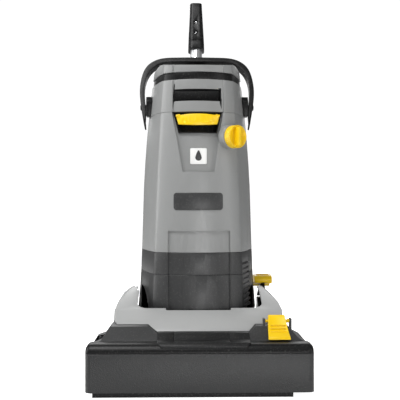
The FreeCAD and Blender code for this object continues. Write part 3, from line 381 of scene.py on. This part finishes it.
def rounded_block(low, high, radius):
    """Block with its upright edges rolled, to cut with."""
    low, high = Vector(low), Vector(high)
    bpy.ops.object.select_all(action="DESELECT")
    bpy.ops.mesh.primitive_cube_add(size=1, location=(low + high) / 2)
    block = bpy.context.object
    block.scale = high - low
    bpy.ops.object.transform_apply(location=True, rotation=False, scale=True)
    bpy.ops.object.mode_set(mode="EDIT")
    bpy.ops.mesh.select_mode(type="EDGE")
    bpy.ops.mesh.select_all(action="DESELECT")
    bpy.ops.object.mode_set(mode="OBJECT")
    points = block.data.vertices
    for edge in block.data.edges:
        start, end = (points[index].co for index in edge.vertices)
        edge.select = abs(start.z - end.z) > 0.0001
    bpy.ops.object.mode_set(mode="EDIT")
    bpy.ops.mesh.bevel(offset=radius, segments=6)
    bpy.ops.object.mode_set(mode="OBJECT")
    return block


def cut_away(piece, cutter):
    """Take the cutter's shape out of the piece, and drop the cutter."""
    removal = piece.modifiers.new("removal", "BOOLEAN")
    removal.operation = "DIFFERENCE"
    removal.object = cutter
    bpy.ops.object.select_all(action="DESELECT")
    bpy.context.view_layer.objects.active = piece
    piece.select_set(True)
    bpy.ops.object.modifier_apply(modifier="removal")
    bpy.data.objects.remove(cutter)


OPENING_LEFT, OPENING_RIGHT, OPENING_FRONT, OPENING_BACK = -0.0980, 0.1030, -0.0775, 0.0600
NOTCH_HALF, NOTCH_FRONT = 0.0520, -0.0840
BELOW, ABOVE = 0.09, 0.20
opening_low, opening_high = (OPENING_LEFT, OPENING_FRONT, BELOW), (OPENING_RIGHT, OPENING_BACK, ABOVE)
cut_away(saddle, rounded_block(opening_low, opening_high, radius=0.016))
notch_low, notch_high = (-NOTCH_HALF, NOTCH_FRONT, BELOW), (NOTCH_HALF, OPENING_BACK, ABOVE)
cut_away(saddle, rounded_block(notch_low, notch_high, radius=0.003))
round_off(saddle, 0.0020, segments=3, angle=20)

# ---------------------------------------------------------------- side arms, axle and rear beam
# Two black plates run back from the hood to the wheel axle and carry the body between them.
# A moulded beam ties their ends together, and two pan head screws hold each plate.
for node in ("side_arm_right", "side_arm_left", "rear_beam"):
    round_off(copy_of(node, black), 0.0008)


def metal(name, color, roughness, stretch):
    """Drawn or turned metal: fine lines along one axis in the roughness and the surface."""
    line_roughness, line_depth = 0.18, 0.00002
    material = bpy.data.materials.new(name)
    material.use_nodes = True
    tree = material.node_tree
    shader = tree.nodes["Principled BSDF"]
    shader.inputs["Metallic"].default_value = 1.0
    mapping = tree.nodes.new("ShaderNodeMapping")
    mapping.inputs["Scale"].default_value = stretch
    lines = place_texture(tree, "ShaderNodeTexNoise", 30.0, detail=4.0)
    tree.links.new(lines.inputs["Vector"].links[0].from_socket, mapping.inputs["Vector"])
    tree.links.new(mapping.outputs[0], lines.inputs["Vector"])
    uneven = place_group(tree, cloud_group, Color=(*color, 1), Amount=0.08, Dust=0.02)
    tree.links.new(uneven.outputs["Color"], shader.inputs["Base Color"])
    spread = math_node(tree, "MULTIPLY", lines.outputs["Fac"], line_roughness)
    tree.links.new(math_node(tree, "ADD", spread, roughness), shader.inputs["Roughness"])
    bump = tree.nodes.new("ShaderNodeBump")
    bump.inputs["Distance"].default_value = line_depth
    tree.links.new(lines.outputs["Fac"], bump.inputs["Height"])
    tree.links.new(bump.outputs["Normal"], shader.inputs["Normal"])
    return material


steel = metal("turned steel", color=(0.55, 0.55, 0.56), roughness=0.22, stretch=(60, 4, 4))
paint(nodes["wheel_axle"], steel)

SCREW_R, HEAD_HEIGHT = 0.003, 0.0016
RIM, RISE = 0.22 * SCREW_R, 0.18 * SCREW_R
SOCKET_WALL, SOCKET_DEPTH, SOCKET_TAPER = 0.3 * SCREW_R, 0.4 * SCREW_R, 0.6
bpy.ops.object.select_all(action="DESELECT")
bpy.ops.mesh.primitive_cylinder_add(
    vertices=24, radius=SCREW_R, depth=HEAD_HEIGHT, location=(0, 0, HEAD_HEIGHT / 2))
screw = bpy.context.object
screw.name = "screw_pattern"
pick_faces(screw, lambda c, n: n.z > 0.9)
bpy.ops.mesh.inset(thickness=RIM)
bpy.ops.transform.translate(value=(0, 0, RISE))
bpy.ops.mesh.inset(thickness=SOCKET_WALL)
bpy.ops.mesh.extrude_region_move(TRANSFORM_OT_translate={"value": (0, 0, -SOCKET_DEPTH)})
bpy.ops.transform.resize(value=(SOCKET_TAPER, SOCKET_TAPER, 1))
bpy.ops.object.mode_set(mode="OBJECT")
bpy.ops.object.shade_smooth_by_angle(angle=SMOOTH_ANGLE)
paint(screw, steel)


def fasten(name, place, outward, body, size=1.0):
    """One more screw, with its head's underside at the place."""
    piece = screw.copy()
    piece.data = screw.data.copy()
    piece.name = name
    bpy.context.collection.objects.link(piece)
    turn = Vector(outward).to_track_quat("Z", "Y").to_matrix().to_4x4()
    piece.data.transform(Matrix.Translation(place) @ turn @ Matrix.Scale(size, 4))
    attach(piece, body)
    return piece


SIDES = {"right": 1, "left": -1}
ARM_SCREW_Z, ARM_SCREWS_Y = 0.034, (-0.060, 0.155)
for side, outward in SIDES.items():
    low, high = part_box(f"side_arm_{side}")
    outer_x = high[0] if side == "right" else low[0]
    for number, y in enumerate(ARM_SCREWS_Y):
        fasten(f"arm_screw_{side}_{number + 1}", (outer_x, y, ARM_SCREW_Z), (outward, 0, 0), "head")

# ---------------------------------------------------------------- squeegees
# A soft lip stands in front of the roller, and twin lips hang behind it on a lifting holder.
# The lips are cut from black rubber sheet, and three screws clamp the twin ones in their holder.
rubber = moulded("black rubber", color=(0.012, 0.012, 0.0125), rubbed=(0.05, 0.05, 0.05),
                 roughness=0.62, cells=800, depth=0.00005, patchiness=0.2, dust=0.12, specular=0.3)
for node in ("front_squeegee_blade", "rear_squeegee_blades"):
    round_off(copy_of(node, rubber), 0.0003)
round_off(copy_of("front_squeegee_holder", black), 0.0005)
round_off(copy_of("rear_squeegee_holder", black), 0.0007)
holder_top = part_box("rear_squeegee_holder")[1][2]
HOLDER_SCREW_STEP, HOLDER_SCREW_Y = 0.115, 0.184
for number in range(3):
    x = (number - 1) * HOLDER_SCREW_STEP
    fasten(f"squeegee_screw_{number + 1}", (x, HOLDER_SCREW_Y, holder_top), (0, 0, 1), "rear_squeegee")

# ---------------------------------------------------------------- roller brush and drive
# Nylon tufts stand in staggered rows on a black core tube that turns on a steel shaft.
# A belt at one end of the core drives it from the motor's pulley.
bristle = moulded("nylon bristle", color=(0.03, 0.03, 0.033), rubbed=(0.1, 0.1, 0.1),
                  roughness=0.45, cells=1500, depth=0.00004, patchiness=0.35)
brush_low, brush_high = (Vector(corner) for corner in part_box("brush_bristles"))
brush_middle = (brush_low + brush_high) / 2
CORE_R = 0.021
TUFT_STEP, TUFT_ROWS, TUFT_MARGIN = 0.0066, 20, 0.004
TUFT_ROOT_R, TUFT_TIP_R, ROOT_SUNK, TIP_SHORT = 0.0011, 0.0021, 0.0011, 0.0001
tuft_length = (brush_high.z - brush_low.z) / 2 - CORE_R
bpy.ops.object.select_all(action="DESELECT")
bpy.ops.mesh.primitive_cone_add(
    vertices=5, radius1=TUFT_ROOT_R, radius2=TUFT_TIP_R, depth=tuft_length + ROOT_SUNK - TIP_SHORT,
    location=(brush_low.x + TUFT_MARGIN, 0, CORE_R + (tuft_length - ROOT_SUNK - TIP_SHORT) / 2))
tufts = bpy.context.object
bpy.ops.object.transform_apply(location=True, rotation=False, scale=False)
bpy.ops.object.mode_set(mode="EDIT")
bpy.ops.mesh.select_all(action="SELECT")
bpy.ops.mesh.bevel(offset=0.0002, segments=1)
bpy.ops.object.mode_set(mode="OBJECT")
row = tufts.modifiers.new("row", "ARRAY")
row.count = int((brush_high.x - brush_low.x - 2 * TUFT_MARGIN) / TUFT_STEP)
row.use_relative_offset = False
row.use_constant_offset = True
row.constant_offset_displace = (TUFT_STEP, 0, 0)
bpy.ops.object.modifier_apply(modifier="row")
for number in range(1, TUFT_ROWS):
    piece = tufts.copy()
    piece.data = tufts.data.copy()
    bpy.context.collection.objects.link(piece)
    turn = Matrix.Rotation(2 * math.pi * number / TUFT_ROWS, 4, "X")
    piece.data.transform(Matrix.Translation((TUFT_STEP / 2 * (number % 2), 0, 0)) @ turn)
    piece.select_set(True)
bpy.ops.object.join()
tufts.data.transform(Matrix.Translation((0, brush_middle.y, brush_middle.z)))
tufts.name = "bristle_tufts"
paint(tufts, bristle)
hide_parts("brush_bristles")
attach(tufts, "brush")
round_off(copy_of("brush_core", black), 0.0006)
for node, material in (("brush_pulley", black), ("drive_belt", rubber), ("brush_end_bearing", steel),
                       ("motor_pulley", steel), ("spray_bar", black)):
    paint(nodes[node], material)

# ---------------------------------------------------------------- transport wheels
# Grey rubber tyres with cross grooves are pressed on dished black hubs with five spokes.
# Both run on the ends of the steel axle, inside the rear corners of the head.
tyre_rubber = moulded("grey tyre rubber", color=(0.045, 0.046, 0.047), rubbed=(0.12, 0.12, 0.12),
                      roughness=0.66, cells=700, depth=0.00006, patchiness=0.2, dust=0.2, specular=0.3)
TYRE_WALL, TREAD_GROOVES = 0.008, 24
SPOKE_SIZE, SPOKE_MIDDLE, SPOKE_SUNK, SPOKES = (0.0044, 0.0032, 0.0148), 0.017, 0.0028, 5


def ring(outer, inner, length, sides):
    """Plain ring about the Z axis, through its middle."""
    bpy.ops.object.select_all(action="DESELECT")
    bpy.ops.mesh.primitive_cylinder_add(vertices=sides, radius=outer, depth=length)
    piece = bpy.context.object
    pick_faces(piece, lambda c, n: abs(n.z) > 0.9)
    bpy.ops.mesh.inset(thickness=outer - inner)
    bpy.ops.mesh.bridge_edge_loops()
    bpy.ops.mesh.select_all(action="SELECT")
    bpy.ops.mesh.normals_make_consistent(inside=False)
    bpy.ops.object.mode_set(mode="OBJECT")
    return piece


def press_grooves(piece, count, margin, depth, radius):
    """Sink evenly spaced faces of the outer wall."""
    def in_groove(c, n):
        outer = abs(n.z) < 0.5 and math.hypot(c.x, c.y) > radius
        return outer and math.sin(count * math.atan2(c.y, c.x)) > 0.5
    pick_faces(piece, in_groove)
    bpy.ops.mesh.inset(thickness=margin, depth=-depth, use_individual=True)
    bpy.ops.object.mode_set(mode="OBJECT")


for side, outward in SIDES.items():
    low, high = (Vector(corner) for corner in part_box(f"wheel_tyre_{side}"))
    centre, radius, width = (low + high) / 2, (high.z - low.z) / 2, high.x - low.x
    tread = ring(radius, radius - TYRE_WALL, width, sides=96)
    press_grooves(tread, TREAD_GROOVES, margin=0.0004, depth=0.0012, radius=radius - TYRE_WALL / 2)
    round_off(tread, 0.0007)
    tread.name = f"tyre_tread_{side}"
    tread.data.transform(Matrix.Translation(centre) @ Matrix.Rotation(math.pi / 2, 4, "Y"))
    paint(tread, tyre_rubber)
    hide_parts(f"wheel_tyre_{side}")
    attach(tread, f"wheel_{side}")

    round_off(copy_of(f"wheel_hub_{side}", black), 0.0007)
    hub_low, hub_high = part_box(f"wheel_hub_{side}")
    hub_face_x = hub_high[0] if side == "right" else hub_low[0]
    bpy.ops.object.select_all(action="DESELECT")
    bpy.ops.mesh.primitive_cube_add(
        size=1, location=(hub_face_x - outward * SPOKE_SUNK, centre.y, centre.z + SPOKE_MIDDLE))
    spokes = bpy.context.object
    spokes.scale = SPOKE_SIZE
    bpy.ops.object.transform_apply(location=True, rotation=False, scale=True)
    bpy.ops.object.mode_set(mode="EDIT")
    bpy.ops.mesh.select_all(action="SELECT")
    bpy.ops.mesh.bevel(offset=0.0006, segments=2)
    for number in range(1, SPOKES):
        bpy.ops.mesh.duplicate()
        bpy.ops.transform.rotate(value=2 * math.pi / SPOKES, orient_axis="X", center_override=centre)
    bpy.ops.object.mode_set(mode="OBJECT")
    spokes.name = f"hub_spokes_{side}"
    paint(spokes, black)
    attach(spokes, f"wheel_{side}")

# ---------------------------------------------------------------- foot pedal
# A yellow pad with a ribbed top is moulded over the end of a black lever on the right-hand arm.
# Stepping on it lifts the rear squeegee clear of the floor.
yellow = moulded("yellow moulding", color=(0.80, 0.52, 0.001), rubbed=(0.92, 0.74, 0.15),
                 roughness=0.30, cells=1500, depth=0.00002, patchiness=0.06, dust=0.01, edge_amount=0.25)
round_off(copy_of("pedal_lever", black), 0.0008)
round_off(copy_of("foot_pedal", yellow), 0.001, segments=3, angle=24)
paint(nodes["pedal_pin"], steel)


def cross_bar(size, place, lean):
    """Small bar across the machine, leaning by an angle about X, with rolled edges."""
    bpy.ops.object.select_all(action="DESELECT")
    bpy.ops.mesh.primitive_cube_add(size=1)
    bar = bpy.context.object
    bar.scale = size
    bar.rotation_euler = (lean, 0, 0)
    bar.location = place
    bpy.ops.object.transform_apply(location=True, rotation=True, scale=True)
    bpy.ops.object.mode_set(mode="EDIT")
    bpy.ops.mesh.select_all(action="SELECT")
    bpy.ops.mesh.bevel(offset=0.0004, segments=2)
    bpy.ops.object.mode_set(mode="OBJECT")
    bpy.ops.object.shade_smooth_by_angle(angle=SMOOTH_ANGLE)
    return bar


def join_all(pieces, name):
    bpy.ops.object.select_all(action="DESELECT")
    for piece in pieces:
        piece.select_set(True)
    bpy.context.view_layer.objects.active = pieces[0]
    bpy.ops.object.join()
    pieces[0].name = name
    return pieces[0]


def ladder_of_bars(count, size, first, step_y, step_z, lean):
    """Like bars one behind the other, on a flat that leans."""
    x, y, z = first
    return [cross_bar(size, (x, y + step_y * i, z + step_z * i), lean) for i in range(count)]


pedal_low, pedal_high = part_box("foot_pedal")
pedal_x = (pedal_low[0] + pedal_high[0]) / 2
TREAD_SIZE, TREAD_STEP = (0.022, 0.0018, 0.0022), 0.0045
FIRST_FRONT_TREAD, FIRST_BACK_TREAD = (pedal_x, 0.108, 0.1492), (pedal_x, 0.1285, 0.1488)
front_treads = ladder_of_bars(4, TREAD_SIZE, FIRST_FRONT_TREAD, TREAD_STEP, step_z=0.00045, lean=0.1)
back_treads = ladder_of_bars(3, TREAD_SIZE, FIRST_BACK_TREAD, TREAD_STEP, step_z=-0.002, lean=-0.42)
treads = join_all(front_treads + back_treads, "pedal_treads")
paint(treads, yellow)
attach(treads, "pedal")

# ---------------------------------------------------------------- brush release latch
# A yellow hook over the right-hand edge of the deck, with a sunken ribbed face for the thumb.
# Pressing it lets the roller out sideways.
THUMB_FACE_LOW, THUMB_MARGIN, THUMB_DEPTH = 0.084, 0.0032, 0.0012
RIB_SIZE, FIRST_RIB = (0.024, 0.0012, 0.0014), (0.1195, -0.1605, 0.0862)
latch = copy_of("brush_latch", yellow)
pick_faces(latch, lambda c, n: n.y < -0.45 and n.z > 0.3 and c.z > THUMB_FACE_LOW)
bpy.ops.mesh.inset(thickness=THUMB_MARGIN, depth=-THUMB_DEPTH)
bpy.ops.object.mode_set(mode="OBJECT")
round_off(latch, 0.0007, angle=24)
bars = ladder_of_bars(4, RIB_SIZE, FIRST_RIB, step_y=0.0052, step_z=0.0039, lean=0.64)
ribs = join_all(bars, "brush_latch_ribs")
paint(ribs, yellow)
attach(ribs, "release_latch")

# ---------------------------------------------------------------- body housing, collar ring and vent
# The charcoal belly holds the motors, and a ring of the same plastic closes it under the tank.
# A slatted grille on the right lets the warm air out: its slats are grey, and the gaps between them are
# painted black as painted shade.
for node in ("lower_housing", "collar_ring"):
    round_off(copy_of(node, dark_grey), 0.0008)
vent_grey = moulded("vent moulding", color=(0.05, 0.05, 0.051), rubbed=(0.3, 0.3, 0.3),
                    roughness=0.4, cells=1100, depth=0.00004, edge_amount=0.9)
vent = round_off(copy_of("vent_grille", vent_grey), 0.0004, segments=1)
vent.data.materials.append(black)
SLAT_AREA = 0.00014
# Faces other than the slat fronts and sides, in and around the gaps, get the black as painted shade.
for face in vent.data.polygons:
    upright = abs(face.normal.z) < 0.9
    on_slat = face.area < SLAT_AREA and face.normal.x > -0.2 and upright
    face.material_index = 0 if on_slat else 1
for node in ("brush_motor", "suction_turbine", "water_pump"):
    paint(nodes[node], dark_grey)

# ---------------------------------------------------------------- spine, stem and fold bracket
# A charcoal back shell runs up behind the tank and clamps an aluminium tube under a black cover.
# Two screws sink into the front of the cover, and the fork above carries the pin of the folding pole.
aluminium = metal("anodised aluminium", color=(0.76, 0.77, 0.78), roughness=0.24, stretch=(60, 60, 2))
round_off(copy_of("rear_spine", dark_grey), 0.0012)
round_off(copy_of("stem_cover", black), 0.0008, angle=40)
round_off(copy_of("fold_bracket", black), 0.0006)
paint(nodes["stem_tube"], aluminium)
paint(nodes["fold_pin"], steel)
STEM_LEAN, SCREW_SUNK = math.radians(15), 0.0017
STEM_SCREW_MOUTHS = ((0, 0.1310, 0.6001), (0, 0.1369, 0.6213))
stem_front = Vector((0, -math.cos(STEM_LEAN), math.sin(STEM_LEAN)))
for number, mouth in enumerate(STEM_SCREW_MOUTHS):
    well = Vector(mouth) - stem_front * SCREW_SUNK
    paint(fasten(f"stem_screw_{number + 1}", well, stem_front, "body", size=0.95), rubber)
SPINE_BACK_Y = 0.1037
SPINE_SCREWS_XZ = ((-0.055, 0.225), (0.055, 0.225), (-0.052, 0.405), (0.052, 0.405))
for number, (x, z) in enumerate(SPINE_SCREWS_XZ):
    fasten(f"spine_screw_{number + 1}", (x, SPINE_BACK_Y, z), (0, 1, 0), "body")

# ---------------------------------------------------------------- cable hooks and cord gland
# The mains lead is wound over two black hooks on the back; the upper one turns to let it drop.
# A tapered gland of black rubber, ringed so that it bends, takes the lead into the body.
for node in ("cable_hook_upper", "cable_hook_lower"):
    round_off(copy_of(node, black), 0.0014, segments=3)
round_off(copy_of("cord_gland", rubber), 0.0005)
GLAND_X, GLAND_Z, GLAND_Y, GLAND_LENGTH = 0.06, 0.24, 0.104, 0.022
GLAND_RINGS, RING_WIDTH = 4, 0.0016
RING_OUTER, OUTER_TAPER = 0.0092, 0.0028
RING_INNER, INNER_TAPER = 0.0064, 0.0016
rings = []
for number in range(GLAND_RINGS):
    share = (number + 0.5) / GLAND_RINGS
    rib = ring(RING_OUTER - OUTER_TAPER * share, RING_INNER - INNER_TAPER * share, RING_WIDTH, sides=32)
    round_off(rib, 0.0004)
    place = Matrix.Translation((GLAND_X, GLAND_Y + GLAND_LENGTH * share, GLAND_Z))
    rib.data.transform(place @ Matrix.Rotation(math.pi / 2, 4, "X"))
    rings.append(rib)
gland_ribs = join_all(rings, "gland_ribs")
paint(gland_ribs, rubber)
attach(gland_ribs, "body")

# ---------------------------------------------------------------- water tank and lid
# Two blow-moulded grey shells lie on each other, with a black band and a hinged lid on top.
# Grooves and a sunken panel stiffen the front, and a hand fits into the slot below the band.
light_grey = moulded("light grey moulding", color=(0.225, 0.229, 0.227), rubbed=(0.40, 0.40, 0.40),
                     roughness=0.33, cells=1400, depth=0.00003, patchiness=0.12, dust=0.02)
round_off(copy_of("fresh_water_tank", light_grey), 0.0010, segments=3, angle=24)
SLOT_LOW, SLOT_HIGH = (-0.0395, -0.090, 0.4495), (0.0365, -0.036, 0.4690)
SLOT_LIP_Y, SLOT_SKIN, CAD_SLOT_BACK = -0.0585, 0.0005, 0.002
upper_tank = copy_of("dirty_water_tank", light_grey)
cut_away(upper_tank, rounded_block(SLOT_LOW, SLOT_HIGH, radius=0.001))
round_off(upper_tank, 0.0010, segments=3, angle=24)
# The hand slot's inner walls, except faces that look up, are painted black: painted shade in the slot.
upper_tank.data.materials.append(black)
inner_low = Vector(SLOT_LOW) - Vector((SLOT_SKIN, SLOT_SKIN, SLOT_SKIN))
inner_high = Vector(SLOT_HIGH) + Vector((SLOT_SKIN, SLOT_SKIN + CAD_SLOT_BACK, SLOT_SKIN))
for face in upper_tank.data.polygons:
    inside = all(low < value < high for low, value, high in zip(inner_low, face.center, inner_high))
    slot_shade = inside and face.normal.z < 0.7 and face.center.y > SLOT_LIP_Y
    face.material_index = 1 if slot_shade else 0
round_off(copy_of("tank_lid", light_grey), 0.0018, segments=3, angle=20)
round_off(copy_of("lid_band", black), 0.0006)
round_off(copy_of("latch_recess", black), 0.0006)
paint(nodes["tank_float"], light_grey)

# ---------------------------------------------------------------- tank latch
# A yellow bow across the front joint of the tank, pulled by a lip along its lower edge.
# Its ends are trimmed to turn freely between the sides of the black recess.
pull = copy_of("tank_latch", yellow)
LIP_TOP, LIP_STEP, LIP_PROUD = 0.4165, 0.0012, 0.0013
PULL_LEFT, PULL_RIGHT = -0.0363, 0.0353
for edge_x, outward in ((PULL_LEFT, -1), (PULL_RIGHT, 1)):
    bpy.ops.object.mode_set(mode="EDIT")
    bpy.ops.mesh.select_all(action="SELECT")
    bpy.ops.mesh.bisect(plane_co=(edge_x, 0, 0), plane_no=(outward, 0, 0), clear_outer=True, use_fill=True)
    bpy.ops.object.mode_set(mode="OBJECT")
for height in (LIP_TOP, LIP_TOP - LIP_STEP):
    cut_across(pull, (0, 0, height), (0, 0, 1))
pull_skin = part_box("tank_latch")[0][1] + 0.006
pick_faces(pull, lambda c, n: c.z < LIP_TOP - LIP_STEP / 2 and n.y < -0.4 and c.y < pull_skin)
bpy.ops.transform.translate(value=(0, -LIP_PROUD, 0))
bpy.ops.object.mode_set(mode="OBJECT")
round_off(pull, 0.0005, angle=24)

# ---------------------------------------------------------------- carrying bail
# A black bow with a thick upper bar swings on two round pins beside the tank.
# Its ends taper out below the pins, and a screw holds it on each pin.
bail_black = moulded("bail moulding", color=(0.004, 0.004, 0.0042), rubbed=(0.035, 0.035, 0.035),
                     roughness=0.36, cells=1000, depth=0.00003, specular=0.2)
bow = copy_of("carry_bail", bail_black)
END_TOP, END_DROP, END_INWARD, END_BACK = 0.437, 0.011, 0.0016, 0.0044
END_TAPER = (0.7, 0.55, 1)
for outward in (-1, 1):
    pick_faces(bow, lambda c, n: n.z < -0.7 and c.z < END_TOP and c.x * outward > 0)
    bpy.ops.mesh.extrude_region_move(
        TRANSFORM_OT_translate={"value": (-outward * END_INWARD, END_BACK, -END_DROP)})
    bpy.ops.transform.resize(value=END_TAPER)
    bpy.ops.object.mode_set(mode="OBJECT")
round_off(bow, 0.0024, segments=4, angle=40)
round_off(copy_of("bail_brackets", black), 0.001)
pin_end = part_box("bail_brackets")[1][0] - HEAD_HEIGHT / 2
PIN_Y, PIN_Z = 0.045, 0.450
for side in ("left", "right"):
    outward = SIDES[side]
    fasten(f"bail_screw_{side}", (outward * pin_end, PIN_Y, PIN_Z), (outward, 0, 0), "tank", size=0.9)

# ---------------------------------------------------------------- dosing knob
# A yellow dial on the right of the front, with a fluted rim and a bar across its sunken face.
# It sets how much detergent is mixed in; a small notch in the bar's upper end points to the setting.
KNOB_R, KNOB_BASE, KNOB_FACE = 0.0186, 0.0075, 0.020
KNOB_RIM, DISH_DEPTH, DISH_TAPER = 0.0018, 0.0058, 0.78
STEM_R, STEM_END, KNOB_FLUTES = 0.0049, -0.006, 32
BAR_SIZE, BAR_MIDDLE, BAR_TAPER = (0.0105, 0.0340, 0.0125), 0.0196, (0.55, 0.9, 1)
NOTCH_MARGIN, NOTCH_DEPTH = 0.0014, 0.0008
bpy.ops.object.select_all(action="DESELECT")
bpy.ops.mesh.primitive_cylinder_add(
    vertices=96, radius=KNOB_R, depth=KNOB_FACE - KNOB_BASE, location=(0, 0, (KNOB_FACE + KNOB_BASE) / 2))
dial = bpy.context.object
bpy.ops.object.transform_apply(location=True, rotation=False, scale=False)
pick_faces(dial, lambda c, n: n.z > 0.9)
bpy.ops.mesh.inset(thickness=KNOB_RIM)
bpy.ops.mesh.extrude_region_move(TRANSFORM_OT_translate={"value": (0, 0, -DISH_DEPTH)})
bpy.ops.transform.resize(value=(DISH_TAPER, DISH_TAPER, 1))
pick_faces(dial, lambda c, n: n.z < -0.9)
bpy.ops.mesh.inset(thickness=KNOB_R - STEM_R)
bpy.ops.mesh.extrude_region_move(TRANSFORM_OT_translate={"value": (0, 0, STEM_END - KNOB_BASE)})
press_grooves(dial, KNOB_FLUTES, margin=0.00012, depth=0.00035, radius=KNOB_R - 0.001)
round_off(dial, 0.0005)
bpy.ops.object.select_all(action="DESELECT")
bpy.ops.mesh.primitive_cube_add(size=1, location=(0, 0, BAR_MIDDLE))
bar = bpy.context.object
bar.scale = BAR_SIZE
bpy.ops.object.transform_apply(location=True, rotation=False, scale=True)
pick_faces(bar, lambda c, n: n.z > 0.9)
bpy.ops.transform.resize(value=BAR_TAPER)
pick_faces(bar, lambda c, n: n.y > 0.9)
bpy.ops.mesh.inset(thickness=NOTCH_MARGIN, depth=-NOTCH_DEPTH)
bpy.ops.object.mode_set(mode="OBJECT")
round_off(bar, 0.0009, segments=3)
knob = join_all([dial, bar], "dial_knob")
KNOB_PLACE, KNOB_TURN = (0.052, -0.051, 0.391), math.radians(38)
out = Vector((math.sin(KNOB_TURN), -math.cos(KNOB_TURN), 0))
up = Vector((0, 0, 1))
facing_out = Matrix((up.cross(out), up, out)).transposed().to_4x4()
knob.data.transform(Matrix.Translation(KNOB_PLACE) @ facing_out)
paint(knob, yellow)
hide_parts("dosing_knob")
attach(knob, "knob")

# ---------------------------------------------------------------- label plates
# A white plate with a plain water drop marks the tank, and a blank charcoal plate sits lower down.
# Both are thin mouldings glued on, with rolled edges, and the drop is a low blister on its plate.
white = moulded("white label plastic", color=(0.74, 0.74, 0.73), rubbed=(0.7, 0.7, 0.7),
                roughness=0.3, cells=1500, depth=0.00001, patchiness=0.05)
round_off(copy_of("water_plate", white), 0.0003, segments=1)
plate_low, plate_high = (Vector(corner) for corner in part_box("water_plate"))
plate_middle = (plate_low + plate_high) / 2
DROP_R, DROP_BELOW, TIP_ABOVE, TIP_TAPER = 0.0052, 0.0022, 0.0095, 0.45
DROP_FLATNESS, DROP_SUNK = 0.12, 0.0003
drop_z, tip_z = plate_middle.z - DROP_BELOW, plate_middle.z + TIP_ABOVE
bpy.ops.object.select_all(action="DESELECT")
bpy.ops.mesh.primitive_uv_sphere_add(
    segments=32, ring_count=20, radius=DROP_R, location=(plate_middle.x, 0, drop_z))
drop = bpy.context.object
bpy.ops.object.transform_apply(location=True, rotation=False, scale=False)
for point in drop.data.vertices:
    share = (point.co.z - drop_z) / DROP_R
    if share > 0:
        point.co.z = drop_z + (tip_z - drop_z) * share
        point.co.x = plate_middle.x + (point.co.x - plate_middle.x) * (1 - TIP_TAPER * share)
bpy.ops.object.mode_set(mode="EDIT")
bpy.ops.mesh.select_all(action="SELECT")
bpy.ops.transform.resize(value=(1, DROP_FLATNESS, 1), center_override=(plate_middle.x, 0, plate_middle.z))
bpy.ops.transform.translate(value=(0, plate_low.y + DROP_SUNK, 0))
bpy.ops.object.mode_set(mode="OBJECT")
bpy.ops.object.shade_smooth_by_angle(angle=SMOOTH_ANGLE)
drop.name = "water_drop_mark"
paint(drop, dark_grey)
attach(drop, "tank")

round_off(copy_of("nameplate", dark_grey), 0.0003)

# ---------------------------------------------------------------- folding pole, collar and grip
# An aluminium pole hangs from a black knuckle on the fold pin, and an inner tube slides in it.
# A fluted collar clamps the two, and the D grip is two black half shells screwed together.
for node in ("pole_tube", "inner_tube"):
    paint(nodes[node], aluminium)
round_off(copy_of("fold_knuckle", black), 0.0008, angle=40)
COLLAR_BORE_R, COLLAR_FLUTES = 0.0101, 18
low, high = (Vector(corner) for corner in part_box("lock_collar"))
collar = ring((high.x - low.x) / 2, COLLAR_BORE_R, high.z - low.z, sides=72)
press_grooves(collar, COLLAR_FLUTES, margin=0.0002, depth=0.0006, radius=COLLAR_BORE_R + 0.0004)
round_off(collar, 0.0004)
collar.data.transform(Matrix.Translation((low + high) / 2))
collar.name = "collar_flutes"
paint(collar, black)
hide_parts("lock_collar")
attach(collar, "collar")


def roll_outer_rim(piece, plane_y, radius):
    """Roll only the edges that lie in one plane across Y, and leave the joint with the other half sharp."""
    bpy.ops.object.mode_set(mode="EDIT")
    bpy.ops.mesh.select_mode(type="EDGE")
    bpy.ops.mesh.select_all(action="DESELECT")
    bpy.ops.object.mode_set(mode="OBJECT")
    points = piece.data.vertices
    for edge in piece.data.edges:
        edge.select = all(abs(points[index].co.y - plane_y) < 0.0001 for index in edge.vertices)
    bpy.ops.object.mode_set(mode="EDIT")
    bpy.ops.mesh.bevel(offset=radius, segments=4, clamp_overlap=True)
    bpy.ops.object.mode_set(mode="OBJECT")


grip_front_y, grip_back_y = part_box("grip_front")[0][1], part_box("grip_back")[1][1]
for node, plane_y in (("grip_front", grip_front_y), ("grip_back", grip_back_y)):
    half = copy_of(node, black)
    roll_outer_rim(half, plane_y, radius=0.0042)
    round_off(half, 0.0003, segments=1)
GRIP_SCREWS_XZ = ((-0.042, 0.275), (0.042, 0.275), (0.0, 0.345))
for number, (x, z) in enumerate(GRIP_SCREWS_XZ):
    fasten(f"grip_screw_{number + 1}", (x, grip_back_y - HEAD_HEIGHT, z), (0, 1, 0), "grip", size=0.9)

# ---------------------------------------------------------------- power switch
# A small yellow rocker in the grip, under the thumb, starts the brush, the pump and the turbine.
# It is one moulding, with rolled edges, that tips between the two half shells.
round_off(copy_of("power_switch", yellow), 0.0005)

bpy.data.objects.remove(screw)
